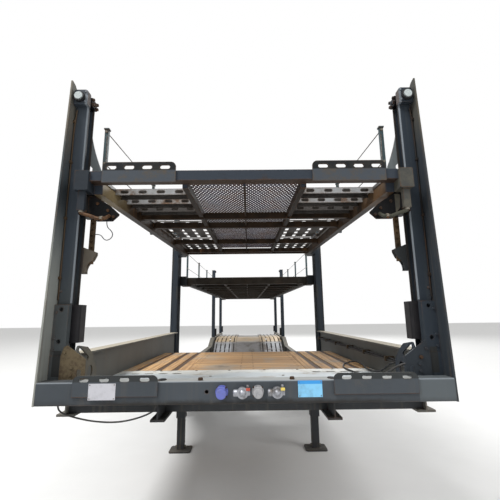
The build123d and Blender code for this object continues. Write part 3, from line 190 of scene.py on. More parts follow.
def beam_marks(f, base):
    """The beam's top is pale and its right end paler; a painted shadow with some rust lines the hook plates'
    bottom edge, oil, dirt and painted shade darken the bottom edge, and a painted highlight runs along the
    top front edge.
    """
    base = f.mix((f.up > 0.7) * (f.x.abs() < 1.02) * (f.z > 1.2), base, srgb(146, 148, 146))
    base = f.mix((f.x > 1.043) * 0.7, base, srgb(88, 94, 97))
    # Painted shadow, with some rust, along the hook plates' bottom edge
    base = f.mix((f.y < FRONT_FACE - 0.002) * (f.z < 1.138) * 0.8, base, srgb(62, 48, 42))
    spatter = f.noise(7.0, 6.0, 0.7)
    # Darker towards the bottom edge: oil and dirt, and painted shade
    low_edge = (f.z + 0.05 * (spatter - 0.5)).ramp(1.092, 1.122, 1.0, 0.0)
    low_edge = low_edge * f.x.abs().ramp(0.75, 1.0, 1.0, 0.35)
    base = f.mix(low_edge * 0.75, base, srgb(40, 36, 31))
    base = f.mix(spatter.ramp(0.55, 0.75) * 0.25, base, srgb(98, 90, 78))
    base = f.mix((f.y < FRONT_FACE - 0.0005) * (f.z > 1.222) * 0.85, base, srgb(48, 50, 50))
    # Painted highlight along the beam's top front edge
    edge = (f.z > 1.2135) * (f.z < 1.2205) * (f.y < FRONT_FACE + 0.01) * (f.y > FRONT_FACE - 0.002)
    return f.mix(edge * 0.55, base, srgb(128, 134, 140))


def earth_between_boards(f, base):
    """Earth lies on the frame where the boards leave gaps."""
    return f.mix((f.z > 1.0925) * (f.up > 0.7), base, srgb(88, 68, 54))


slate = painted_steel("slate_paint", srgb(58, 62, 66))
paint(slate, "coupling_plate", "inner_rails", "well_crossmembers", "axles", "suspension_arms")
paint(painted_steel("platform_frame_paint", srgb(56, 58, 60), marks=earth_between_boards), "platform_frame")
beam_paint = painted_steel("beam_paint", srgb(69, 74, 79), rust_amount=0.3, dust=0.25, streaks=0.25,
                           marks=beam_marks)
paint(beam_paint, "front_beam", "beam_hook_plates")


def lit_rail_tops(f, base):
    """Painted light: the rails' top flanges are painted pale where light falls on them."""
    return f.mix((f.up > 0.7) * (f.z > 1.34) * 0.85, base, srgb(182, 174, 156))


sill_paint = painted_steel("sill_paint", srgb(102, 102, 98), rust_amount=0.6, dust=0.9, streaks=1.0,
                           marks=lit_rail_tops)
paint(sill_paint, "gooseneck_rails", "well_rails", "edge_rails")

# Posts
# Each post is a tube, open on its inboard side, with a wing plate outboard; rain has washed brown streaks
# down the wings. Head and sleeve bolts, a clipped line and stitch welds are added to them.
def spot(x, s, z):
    """A place across, back from the front face and up, in metres."""
    return Vector((x, FRONT_FACE + s, z))


def add_block(shell, low, high):
    """A block between two corners."""
    corners = [shell.verts.new((x, y, z))
               for x in (low[0], high[0]) for y in (low[1], high[1]) for z in (low[2], high[2])]
    for face in ((0, 1, 3, 2), (4, 6, 7, 5), (0, 4, 5, 1), (2, 3, 7, 6), (0, 2, 6, 4), (1, 5, 7, 3)):
        shell.faces.new([corners[index] for index in face])


def add_turned(shell, place, direction, steps, sides=16):
    """A turned part: (distance along the direction, radius) steps round an axis, its ends closed."""
    turn = Vector((0, 0, 1)).rotation_difference(Vector(direction))
    rings = []
    for along, radius in steps:
        angles = [2 * pi * index / sides for index in range(sides)]
        rings.append([shell.verts.new(Vector(place) + turn @ Vector((radius * cos(angle), radius * sin(angle),
                                                                     along)))
                      for angle in angles])
    for ring, following in zip(rings, rings[1:]):
        for index in range(sides):
            after = (index + 1) % sides
            shell.faces.new((ring[index], ring[after], following[after], following[index]))
    shell.faces.new(list(reversed(rings[0])))
    shell.faces.new(rings[-1])


def add_bolt(shell, place, direction, size=0.018):
    """A hexagon head on a washer, with the end of its thread."""
    add_turned(shell, place, direction, ((0.0, 0.62 * size), (0.12 * size, 0.62 * size)), 14)
    add_turned(shell, Vector(place) + 0.12 * size * Vector(direction), direction,
               ((0.0, 0.55 * size), (0.42 * size, 0.55 * size), (0.50 * size, 0.46 * size)), 6)


def add_strip(shell, points, half, lift):
    """A flat ribbon with thickness along points that lie level."""
    for start, end in zip(points, points[1:]):
        across = (end - start).cross(Vector((0, 0, 1))).normalized() * half
        low = [start - across, start + across, end + across, end - across]
        base = [shell.verts.new(point) for point in low]
        top = [shell.verts.new(point + Vector((0, 0, lift))) for point in low]
        shell.faces.new(list(reversed(base)))
        shell.faces.new(top)
        shell.faces.new((base[0], base[1], top[1], top[0]))
        shell.faces.new((base[2], base[3], top[3], top[2]))
        shell.faces.new((base[1], base[2], top[2], top[1]))
        shell.faces.new((base[3], base[0], top[0], top[3]))


def piece(name, shell, material, body, smooth=False, bevel=0.0):
    """Make an object of a shell; it rides on a body."""
    mesh = bpy.data.meshes.new(name)
    bmesh.ops.recalc_face_normals(shell, faces=shell.faces)
    shell.to_mesh(mesh)
    shell.free()
    mesh.polygons.foreach_set("use_smooth", [smooth] * len(mesh.polygons))
    made = bpy.data.objects.new(name, mesh)
    made.data.materials.append(material)
    scene.collection.objects.link(made)
    if bevel:
        rounding = made.modifiers.new("rounding", "BEVEL")
        rounding.width = bevel
        rounding.segments = 2
        rounding.limit_method = "ANGLE"
    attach(made, body)
    return made


def line(name, routes, radius, material, body, smooth=True):
    """A bevelled curve: one spline through each route's points."""
    curve = bpy.data.curves.new(name, "CURVE")
    curve.dimensions = "3D"
    curve.bevel_depth = radius
    curve.bevel_resolution = 3
    curve.resolution_u = 8
    for route in routes:
        spline = curve.splines.new("NURBS" if smooth else "POLY")
        spline.points.add(len(route) - 1)
        for point, place in zip(spline.points, route):
            point.co = (*place, 1.0)
        if smooth:
            spline.order_u = 3
            spline.use_endpoint_u = True
    curve.materials.append(material)
    made = bpy.data.objects.new(name, curve)
    scene.collection.objects.link(made)
    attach(made, body)
    return made


f = Finish("post_paint", IOR=1.22)
side = f.x.abs()
back = f.y - FRONT_FACE
left = (f.x < 0.0) * (back < 0.5)
wing = side.ramp(1.258, 1.266)
low = f.z < 1.43
broad = f.noise(1.1, 3.0)
fine = f.noise(42.0, 6.0, 0.65)
runs = f.noise(1.0, 6.0, 0.62, stretch=(34.0, 34.0, 0.9))
patches = f.noise(5.0, 8.0, 0.68)
# The left wing is pale at its foot, dark in the middle and olive at its head; the right one is dark
foot = (f.z + 0.25 * (broad - 0.5)).ramp(1.75, 2.45, 1.0, 0.0)
crown = (f.z + 0.25 * (broad - 0.5)).ramp(2.65, 3.08)
left_wing = f.mix(crown, f.mix(foot, srgb(58, 66, 70), srgb(150, 152, 146)), srgb(108, 104, 92))
right_wing = f.mix(crown * 0.8, srgb(48, 52, 56), srgb(88, 84, 72))
tube = f.mix(left, srgb(45, 52, 60), f.mix(f.z.ramp(1.6, 2.1, 0.8, 0.0), srgb(60, 67, 75), srgb(74, 78, 78)))
base = f.mix(wing, tube, f.mix(left, right_wing, left_wing))
base = f.mix(broad.ramp(0.3, 0.7) * 0.4, base, srgb(40, 45, 50))
base = f.mix(runs.ramp(0.46, 0.66) * (0.12 + 0.3 * wing), base, srgb(84, 86, 82))
base = f.mix(runs.ramp(0.60, 0.74) * crown * (0.15 + 0.35 * wing), base, srgb(112, 104, 84))
# Painted highlight on the tube's front corner, beside painted shadow on its inner face
corner = (side < 1.176) * (back < 0.160) * (f.z > 1.7)
base = f.mix(corner * 0.8, base, srgb(122, 128, 134))
inner = (side < 1.172) * (back > 0.162) * (back < 0.184) * (f.z > 1.43)
base = f.mix(inner, base, srgb(20, 22, 26))
# Painted light makes the tube's rear lip pale; the foot bracket is dusty grey and the knee plate rusty
lit_lip = (side < 1.186) * (back > 0.232) * (back < 0.266) * (f.z > 1.43)
base = f.mix(lit_lip * 0.7, base, srgb(66, 62, 58))
bracket = (side > 1.095) * (side < 1.107) * (back > 0.116) * low
base = f.mix(bracket * left * patches.ramp(0.3, 0.6), base, srgb(98, 94, 84))
knee = (back > 0.090) * (back < 0.1155) * (side < 1.186) * low
mottled = f.mix((0.5 * patches + 0.5 * fine).ramp(0.42, 0.60), srgb(94, 82, 61), srgb(70, 57, 42))
base = f.mix(knee * left * 0.9, base, mottled)
base = f.mix(knee * (1.0 - left) * 0.7, base, srgb(42, 46, 50))
# Painted shade: a dark patch on the foot block between the wing and the knee plate
shaded_recess = (side > 1.192) * (side < 1.240) * (f.z > 1.235) * (f.z < 1.395) * (back > 0.11) * (back < 0.13)
base = f.mix(shaded_recess, base, srgb(46, 47, 47))
head = (side < 1.1575) * (back > 0.105) * (back < 0.160) * (f.z > 3.15)
base = f.mix(head * 0.7, base, srgb(70, 54, 42))
guide = (back > 0.2705) * (side < 1.195) * (f.z > 1.9) * (f.z < 2.12)
base = f.mix(guide * 0.8, base, f.mix(left, srgb(58, 60, 60), srgb(112, 104, 92)))
seam = (side.ramp(1.235, 1.262) * (1.0 - side.ramp(1.264, 1.268))) * runs.ramp(0.50, 0.72) * 0.45
rust_tone = f.mix(fine.ramp(0.35, 0.65), srgb(62, 40, 24), srgb(112, 76, 44))
rusty = (seam * 0.75 + f.worn_edges() * patches.ramp(0.45, 0.65) * 0.5
         + patches.ramp(0.66, 0.72) * runs.ramp(0.5, 0.6) * 0.5).clamp()
base = f.mix(rusty, base, rust_tone)
post_paint = f.set(Base_Color=base, Roughness=0.46 + 0.14 * broad + 0.3 * rusty,
                   Normal=f.bump(fine * (0.12 + 0.9 * rusty) + patches * 0.3, 0.35, 0.0025))
paint(post_paint, "front_posts", "mid_posts", "rear_posts")

rusty_iron = painted_steel("rusty_iron", srgb(62, 47, 36), rust_amount=0.7, dust=0.2, streaks=0.2, gloss=0.62)
zinc = painted_steel("zinc_bolts", srgb(120, 116, 106), rust_amount=0.8, dust=0.2, streaks=0.3, gloss=0.36)
line_sheath = painted_steel("line_sheath", srgb(72, 60, 46), rust_amount=0.1, dust=0.2, streaks=0.2)
black_sheath = painted_steel("black_sheath", srgb(34, 33, 32), rust_amount=0.0, dust=0.1, streaks=0.1)
POST_PLACES = (("front", 0.2175), ("mid_front", 3.7075), ("mid_rear", 3.8325), ("third", 10.2675),
               ("tail", 13.4175))
SIDES = (("left", -1), ("right", 1))
for side, hand in SIDES:
    sheath = line_sheath if side == "left" else black_sheath
    for name, s in POST_PLACES:
        # Bracket across the opening's top, with its bolts and a domed plug
        shell = bmesh.new()
        for z in (3.200, 3.238):
            for ds in (-0.033, 0.033):
                add_bolt(shell, spot(hand * 1.155, s + ds, z), (-hand, 0, 0), 0.024)
        add_turned(shell, spot(hand * 1.155, s, 3.219), (-hand, 0, 0),
                   ((0.0, 0.017), (0.008, 0.017), (0.014, 0.010)), 16)
        piece(f"head_bolts_{name}_{side}", shell, rusty_iron if side == "left" else post_paint, "root")
    shell = bmesh.new()
    for z in (1.40, 1.475, 1.64, 1.78):
        add_bolt(shell, spot(hand * 1.244, 0.12 if z < 1.69 else 0.15, z), (0, -1, 0), 0.016)
    for x, z in ((1.108, 1.290), (1.112, 1.246), (1.160, 1.385)):
        add_bolt(shell, spot(hand * x, 0.105, z), (0, -1, 0), 0.017)
    for z in (3.175, 3.255):
        add_bolt(shell, spot(hand * 1.172, 0.110, z), (0, -1, 0), 0.016)
    piece(f"post_bolts_{side}", shell, post_paint, "root")
    if side == "right":
        shell = bmesh.new()
        add_bolt(shell, spot(1.123, 0.104, 1.332), (0, -1, 0), 0.021)
        piece("rusty_knee_bolt", shell, rusty_iron, "root")
    # Brake and light line clipped along the gap between the wing and the tube
    route = [spot(hand * 1.254, 0.142, z) for z in (1.72, 1.9, 2.2, 2.5, 2.8, 3.0)]
    line(f"post_line_{side}", [route + [spot(hand * 1.240, 0.135, 3.12)]], 0.005, sheath, "root")
    shell = bmesh.new()
    for z in (1.86, 2.28, 2.70, 3.02):
        add_block(shell, spot(hand * 1.254 - 0.008, 0.128, z), spot(hand * 1.254 + 0.008, 0.151, z + 0.018))
    piece(f"line_clips_{side}", shell, sheath, "root", bevel=0.002)
    # Stitch welds down the front of the tube, where it meets the wing
    shell = bmesh.new()
    for index in range(13):
        z = 1.76 + index * 0.112
        add_turned(shell, spot(hand * 1.260, 0.158, z), (0, 0, 1),
                   ((0.0, 0.002), (0.006, 0.004), (0.052, 0.004), (0.058, 0.002)), 6)
    piece(f"stitch_welds_{side}", shell, post_paint, "root", smooth=True)

# Lift spindles
# Cut screws, black with old grease, in their head and foot blocks; the drive housings are cast.
f = Finish("greased_screw", IOR=1.3)
SPINDLE_X, THREAD_PITCH = 1.215, 0.012
rod = 1.0 - (((f.x.abs() - SPINDLE_X) * (f.x.abs() - SPINDLE_X)) ** 0.5).ramp(0.021, 0.024)
thread = (f.z * (2 * pi / THREAD_PITCH)).sine()
grime = f.noise(9.0, 5.0, 0.6)
base = f.mix(grime.ramp(0.35, 0.7), srgb(26, 24, 27), srgb(52, 48, 50))
base = f.mix(thread.ramp(0.2, 0.9) * rod * 0.35, base, srgb(88, 82, 84))
# Painted shade: everything inboard of the screw is darkened as the channel's shaded interior
base = f.mix((f.x.abs() < 1.19) * 0.8, base, srgb(14, 14, 17))
spindle_steel = f.set(Base_Color=base, Roughness=0.30 + 0.3 * grime,
                      Normal=f.bump(thread * rod + grime * 0.3, 0.8, 0.003))
paint(spindle_steel, "lift_spindles")

# Front beam fittings
# The data plate and the warning plate are blank sheet metal, riveted on at their corners.
BEAM_TOP = 1.220
PLATE_THICKNESS = 0.0015


def plate_finish(name, colour, edge_colour):
    """Sheet metal in a plain colour, scuffed; a darker band runs along the right plate's top."""
    f = Finish(name, IOR=1.5)
    scuffs = f.noise(18.0, 6.0, 0.7)
    base = f.mix(scuffs.ramp(0.45, 0.75) * 0.6, colour, edge_colour)
    base = f.mix((f.x > 0.0) * (f.z > 1.196), base, srgb(46, 140, 206))
    return f.set(Base_Color=base, Roughness=0.30 + 0.35 * scuffs, Normal=f.bump(scuffs, 0.12, 0.001))


for name, x, z, finish in (
        ("data_plate", (-0.941, -0.779), (1.120, 1.214),
         plate_finish("plate_white", srgb(178, 178, 184), srgb(140, 138, 142))),
        ("warning_plate", (0.313, 0.459), (1.121, 1.216),
         plate_finish("plate_blue", srgb(122, 186, 222), srgb(92, 132, 160)))):
    face = -0.010 if name == "data_plate" else 0.0
    shell = bmesh.new()
    add_block(shell, spot(x[0], face - PLATE_THICKNESS, z[0]), spot(x[1], face, z[1]))
    piece(name, shell, finish, "root", bevel=0.0007)
    shell = bmesh.new()
    for px in (x[0] + 0.008, x[1] - 0.008):
        for pz in (z[0] + 0.008, z[1] - 0.008):
            add_turned(shell, spot(px, face - PLATE_THICKNESS, pz), (0, -1, 0),
                       ((0.0, 0.0035), (0.0012, 0.0032), (0.002, 0.0015)), 10)
    piece(name + "_rivets", shell, zinc, "root", smooth=True)

shell = bmesh.new()
for x in (-0.278, 0.282):
    add_bolt(shell, spot(x, 0.028, BEAM_TOP), (0, 0, 1), 0.026)
piece("beam_top_bolts", shell, rusty_iron, "root")
# Oval rubber plugs close the lashing holes in the beam's top
plug_rubber = painted_steel("plug_rubber", srgb(14, 14, 15), rust_amount=0.0, dust=0.0, streaks=0.1)
PLUG_S, PLUG_STRETCH = 0.058, 1.5
shell = bmesh.new()
for x in (-0.518, 0.531):
    add_turned(shell, spot(x, PLUG_S, BEAM_TOP), (0, 0, 1),
               ((0.0, 0.027), (0.003, 0.026), (0.0045, 0.020)), 24)
for corner in shell.verts:
    corner.co.y = FRONT_FACE + PLUG_S + PLUG_STRETCH * (corner.co.y - FRONT_FACE - PLUG_S)
piece("beam_top_plugs", shell, plug_rubber, "root")

# Platform sheet
# Bare galvanised sheet over the coupling, bright where shoes and tyres have polished it.
PLATFORM_TOP = 1.120
f = Finish("bright_sheet", Metallic=0.35, IOR=1.5)
broad = f.noise(2.2, 4.0)
fine = f.noise(55.0, 6.0, 0.7)
stains = f.noise(4.5, 9.0, 0.72)
base = f.mix(broad.ramp(0.3, 0.7), srgb(222, 222, 216), srgb(200, 200, 194))
# Wet near the beam, with a painted bluish sheen
wet_and_sheen = (f.y - FRONT_FACE + 0.5 * (broad - 0.5)).ramp(0.85, 1.02, 1.0, 0.0)
base = f.mix(wet_and_sheen * 0.7, base, srgb(168, 180, 188))
base = f.mix(stains.ramp(0.52, 0.66) * 0.7, base, srgb(140, 124, 100))
base = f.mix(f.worn_edges() * 0.6, base, srgb(104, 84, 62))
bright_sheet = f.set(Base_Color=base, Roughness=0.34 + 0.25 * stains + 0.1 * fine,
                     Normal=f.bump(broad * 1.5 + fine * 0.15, 0.3, 0.004))
paint(bright_sheet, "platform_sheet")
shell = bmesh.new()
for hand in (-1, 1):
    for x, s in ((0.10, 0.14), (0.42, 0.14), (0.76, 0.14), (0.16, 1.11), (0.46, 1.11), (0.78, 1.11),
                 (0.30, 0.80), (0.88, 0.80)):
        add_turned(shell, spot(hand * x, s, PLATFORM_TOP), (0, 0, 1),
                   ((0.0, 0.012), (0.0015, 0.012), (0.003, 0.008)), 14)
piece("sheet_screws", shell, zinc, "root", smooth=True)

# Platform boards
# Weathered softwood planks, across the middle and lengthwise at the sides, worn pale where tyres run.
BOARD_PITCH, BOARDS_START = 0.2329, 1.14
f = Finish("deck_boards", IOR=1.4)
middle = f.x.abs() < 0.5475
row = ((f.y - (FRONT_FACE + BOARDS_START)) / BOARD_PITCH).floor()
lane = (f.x * 7.0).floor()
tone = f.random(row * middle + (1.0 - middle) * (lane + 40.0))
along_x = f.noise(1.0, 7.0, 0.62, stretch=(2.2, 46.0, 30.0))
along_y = f.noise(1.0, 7.0, 0.62, stretch=(46.0, 2.2, 30.0))
grain = along_x * middle + along_y * (1.0 - middle)
stain = f.noise(2.4, 7.0, 0.7)
base = f.mix(tone, srgb(216, 174, 122), srgb(190, 150, 104))
base = f.mix(grain.ramp(0.38, 0.62) * 0.70, base, srgb(142, 106, 70))
base = f.mix(stain.ramp(0.46, 0.66) * 0.7, base, srgb(150, 146, 136))
base = f.mix(stain.ramp(0.62, 0.72) * 0.5, base, srgb(84, 66, 48))
boards = f.set(Base_Color=base, Roughness=0.62 + 0.2 * grain, Normal=f.bump(grain, 0.5, 0.003))
paint(boards, "platform_boards")
shell = bmesh.new()
for row in range(7):
    for s in (1.19 + row * BOARD_PITCH, 1.33 + row * BOARD_PITCH):
        for x in (-0.5, -0.06, 0.06, 0.5):
            add_turned(shell, spot(x, s, PLATFORM_TOP), (0, 0, 1), ((0.0, 0.007), (0.0008, 0.0065)), 10)
piece("board_screws", shell, rusty_iron, "root")

# Wheel tracks
# Galvanised track plate, punched with long holes, dull and rust stained between the polished tyre lanes.
SLAT_PITCH = 0.256


def track_plate(name, bright, dull, rust, dark_below=0.0, marks=None):
    """Galvanised plate; dark_below shades undersides and what lies behind and under the front slats."""
    f = Finish(name, Metallic=0.25, IOR=1.5)
    patches = f.noise(4.0, 8.0, 0.7)
    fine = f.noise(60.0, 5.0, 0.65)
    lane = 1.0 - ((f.x.abs() - 0.75).abs()).ramp(0.10, 0.28)
    base = f.mix(patches.ramp(0.35, 0.65), bright, dull)
    base = f.mix(lane * 0.35, base, shade(bright, 1.15))
    rusty = (patches.ramp(0.52, 0.64) * rust + f.worn_edges() * 0.7).clamp()
    base = f.mix(rusty, base, f.mix(fine.ramp(0.3, 0.7), srgb(70, 47, 30), srgb(112, 80, 52)))
    behind = (((f.y - FRONT_FACE) - 0.320) % SLAT_PITCH > 0.122) * ((f.y - FRONT_FACE) < 0.98)
    third = (f.y > FRONT_FACE + 0.80) * (f.y < FRONT_FACE + 1.2) * (f.up < 0.5)
    below = ((0.0 - f.up).ramp(0.3, 0.8) + behind + third).clamp() * dark_below
    base = f.mix(below, base, f.mix(patches.ramp(0.4, 0.6), srgb(46, 38, 31), srgb(32, 28, 26)))
    base = marks(f, base) if marks else base
    return f.set(Base_Color=base, Roughness=0.42 + 0.35 * rusty + 0.1 * patches,
                 Normal=f.bump(fine * (0.1 + rusty) + patches * 0.2, 0.35, 0.002))


def hump_marks(f, base):
    """Dried clay lies over the crest of the hump; its slope is bare between the tracks."""
    clay = f.noise(3.0, 7.0, 0.7)
    crest = f.z.ramp(0.76, 0.82) * (f.y - FRONT_FACE + clay).ramp(11.3, 12.2, 1.0, 0.0)
    base = f.mix((f.x.abs() < 0.545) * (1.0 - crest) * 0.6, base, srgb(104, 97, 90))
    return f.mix(crest * clay.ramp(0.30, 0.52, 0.45, 0.95), base, srgb(196, 170, 130))


paint(track_plate("low_tracks", srgb(140, 141, 142), srgb(112, 112, 110), 0.6), "well_tracks")
paint(track_plate("hump_plate", srgb(172, 174, 178), srgb(138, 138, 138), 0.5, marks=hump_marks),
      "hump_tracks", "hump_panel")

# Axles and suspension
# Axle tubes, arms and their air springs; the bellows are ribbed rubber.
AXLES = (("1", 10.4), ("2", 11.6))
f = Finish("bellows_rubber", IOR=1.5)
ribs = (f.z * (2 * pi / 0.022)).sine()
dusty = f.noise(12.0, 5.0, 0.6)
base = f.mix(dusty.ramp(0.4, 0.7) * 0.5, srgb(30, 30, 31), srgb(84, 78, 70))
bellows = f.set(Base_Color=base, Roughness=0.62 + 0.2 * dusty, Normal=f.bump(ribs + 0.3 * dusty, 0.7, 0.006))
paint(bellows, "air_springs")
shell = bmesh.new()
for _, s in AXLES:
    for hand in (-1, 1):
        for ds in (-0.045, 0.045):
            for dx in (-0.028, 0.028):
                add_bolt(shell, spot(hand * 0.645 + dx, s + ds, 0.490), (0, 0, 1), 0.024)
        add_bolt(shell, spot(hand * 0.680, s - 0.5, 0.425), (hand, 0, 0), 0.046)
piece("axle_bolts", shell, rusty_iron, "root")

# Wheels
# Twin tyres with ribbed treads and lettering-free walls, on dished steel rims held by ten nuts.
WHEEL_Z, NUT_COUNT, NUT_CIRCLE = 0.395, 10, 0.110
for number, s in AXLES:
    f = Finish("tyre_" + number, IOR=1.48)
    dy = f.y - (FRONT_FACE + s)
    dz = f.z - WHEEL_Z
    radius = (dy * dy + dz * dz) ** 0.5
    angle = f.node("ShaderNodeMath", {"operation": "ARCTAN2"}, {0: dy, 1: dz})
    tread = radius.ramp(0.378, 0.386)
    grooves = ((f.x.abs() * (2 * pi / 0.045)).sine()).ramp(0.55, 0.8)
    sipes = ((angle * 42.0 + f.x * 90.0).sine()).ramp(0.75, 0.9)
    rings = ((radius * (2 * pi / 0.016)).sine()).ramp(0.6, 0.9) * (1.0 - tread)
    dusty = f.noise(10.0, 6.0, 0.65)
    base = f.mix(dusty.ramp(0.4, 0.7) * 0.6, srgb(34, 34, 35), srgb(92, 88, 80))
    height = tread * (1.0 - grooves * 1.2 - sipes * 0.5) + rings * 0.08 + dusty * 0.05
    rubber = f.set(Base_Color=base, Roughness=0.72 + 0.15 * dusty, Normal=f.bump(height, 1.0, 0.008))
    paint(rubber, f"tyres_{number}_left", f"tyres_{number}_right")
rim_paint = painted_steel("rim_paint", srgb(132, 131, 126), rust_amount=0.9, dust=0.5, streaks=0.6)
for number, s in AXLES:
    for side, hand in SIDES:
        body = f"wheel_{number}_{side}"
        paint(rim_paint, f"rim_{number}_{side}")
        shell = bmesh.new()
        for index in range(NUT_COUNT):
            turn = 2 * pi * index / NUT_COUNT
            place = spot(hand * 1.0145, s + NUT_CIRCLE * sin(turn), WHEEL_Z + NUT_CIRCLE * cos(turn))
            add_turned(shell, place, (hand, 0, 0), ((0.0, 0.019), (0.005, 0.019)), 14)
            add_turned(shell, place + Vector((hand * 0.005, 0, 0)), (hand, 0, 0),
                       ((0.0, 0.0165), (0.022, 0.0165), (0.026, 0.013)), 6)
            add_turned(shell, place + Vector((hand * 0.031, 0, 0)), (hand, 0, 0),
                       ((0.0, 0.010), (0.012, 0.010)), 10)
        piece("wheel_nuts_" + body, shell, zinc, body)
        shell = bmesh.new()
        add_turned(shell, spot(hand * 1.1155, s, WHEEL_Z), (hand, 0, 0),
                   ((0.0, 0.070), (0.012, 0.068), (0.030, 0.058), (0.040, 0.040), (0.042, 0.0)), 32)
        piece("hub_cap_" + body, shell, rusty_iron, body, smooth=True)

# Mudguards
# Rolled from black plastic sheet, grey with road dirt.
f = Finish("mudguard_plastic", IOR=1.46)
grime = f.noise(6.0, 7.0, 0.68)
base = f.mix(grime.ramp(0.35, 0.7), srgb(36, 37, 38), srgb(88, 84, 76))
paint(f.set(Base_Color=base, Roughness=0.6 + 0.25 * grime, Normal=f.bump(grime, 0.3, 0.003)), "mudguards")
shell = bmesh.new()
for _, s in AXLES:
    for hand in (-1, 1):
        for ds in (-0.038, 0.038):
            for dx in (-0.03, 0.03):
                add_turned(shell, spot(hand * 1.203 + dx, s + ds, 0.8035), (0, 0, -1),
                           ((0.0, 0.010), (0.003, 0.009)), 10)
piece("mudguard_rivets", shell, zinc, "root")

# Kingpin and landing legs
# The pin is turned steel, greased and scored; the legs are painted, with bare inner tubes.
f = Finish("turned_steel", Metallic=1.0)
scores = f.noise(1.0, 6.0, 0.6, stretch=(12.0, 12.0, 160.0))
grease = f.noise(14.0, 5.0, 0.6)
base = f.mix(grease.ramp(0.45, 0.6), srgb(150, 148, 144), srgb(52, 46, 40))
paint(f.set(Base_Color=base, Roughness=0.25 + 0.4 * grease, Normal=f.bump(scores, 0.3, 0.001)), "kingpin")
leg_paint = painted_steel("leg_paint", srgb(58, 60, 62), rust_amount=1.0, dust=0.5, streaks=1.0)
paint(leg_paint, "landing_legs")
shell = bmesh.new()
for hand in (-1, 1):
    for z in (0.66, 0.76):
        for dx in (-0.034, 0.034):
            add_bolt(shell, spot(hand * 0.830 + dx, 2.310, z), (0, -1, 0), 0.016)
    add_turned(shell, spot(hand * 0.786, 2.44, 0.045), (-hand, 0, 0), ((0.0, 0.014), (0.020, 0.014)), 16)
    add_turned(shell, spot(hand * 0.874, 2.44, 0.045), (hand, 0, 0), ((0.0, 0.014), (0.020, 0.014)), 16)
piece("leg_bolts", shell, zinc, "root")
crank = [spot(x, 2.345, z) for x, z in ((0.874, 0.710), (1.02, 0.710), (1.02, 0.60), (1.11, 0.60))]
line("leg_crank", [crank], 0.009, zinc, "root", smooth=False)

# Marker lamps
# A round clear lens in a black rubber ring, on the bracket at each front post's head.
LAMP_X, LAMP_Z = 1.213, 3.208
f = Finish("clear_lens", IOR=1.5, Coat_Weight=0.6)
flutes = ((f.x * 900.0).sine() + (f.z * 900.0).sine()).ramp(-1.0, 1.5)
dx = f.x.abs() - LAMP_X
dz = f.z - LAMP_Z
ring = ((dx * dx + dz * dz) ** 0.5).ramp(0.0285, 0.0295)
base = f.mix(ring, srgb(164, 172, 172), srgb(30, 30, 32))
clear_lens = f.set(Base_Color=base, Roughness=0.18 + 0.5 * ring,
                   Normal=f.bump(flutes * (1.0 - ring), 0.25, 0.001))
paint(clear_lens, "marker_lamps")
lamp_seal = painted_steel("lamp_seal", srgb(26, 26, 28), rust_amount=0.0, dust=0.2, streaks=0.1, gloss=0.55)
for side, hand in SIDES:
    shell = bmesh.new()
    add_turned(shell, spot(hand * LAMP_X, 0.100, LAMP_Z), (0, -1, 0),
               ((0.0, 0.041), (0.010, 0.041), (0.013, 0.036)), 32)
    piece(f"marker_lamp_ring_{side}", shell, lamp_seal, "root", smooth=True)

# Electric sockets
# Moulded sockets with a sprung round cover; the lamp socket's cover is blue.
CONNECTOR_Z, SCREW_CIRCLE = 1.158, 0.036
f = Finish("socket_mould", IOR=1.47)
scuffs = f.noise(30.0, 6.0, 0.7)
blue = 1.0 - f.x.ramp(-0.06, -0.05)
base = f.mix(blue, srgb(150, 150, 152), srgb(92, 100, 170))
base = f.mix(scuffs.ramp(0.5, 0.7) * 0.5, base, srgb(96, 96, 104))
socket_mould = f.set(Base_Color=base, Roughness=0.42 + 0.3 * scuffs, Normal=f.bump(scuffs, 0.25, 0.001))
paint(socket_mould, "electric_sockets")
for name, x, radius in (("lamp", -0.145, 0.030), ("brake", 0.071, 0.028)):
    shell = bmesh.new()
    # Hinge lug over the cup, and the closed cover
    add_block(shell, spot(x - 0.022, -0.070, CONNECTOR_Z + radius - 0.006),
              spot(x + 0.022, -0.050, CONNECTOR_Z + radius + 0.006))
    add_turned(shell, spot(x, -0.0700, CONNECTOR_Z), (0, -1, 0),
               ((0.0, radius), (0.003, radius), (0.0055, radius - 0.006)), 28)
    piece(f"{name}_socket_cover", shell, socket_mould, "root", bevel=0.001)
    shell = bmesh.new()
    for turn in (45, 135, 225, 315):
        place = spot(x + SCREW_CIRCLE * cos(radians(turn)), -0.010,
                     CONNECTOR_Z + SCREW_CIRCLE * sin(radians(turn)))
        add_bolt(shell, place, (0, -1, 0), 0.009)
    piece(f"{name}_socket_screws", shell, rusty_iron, "root")

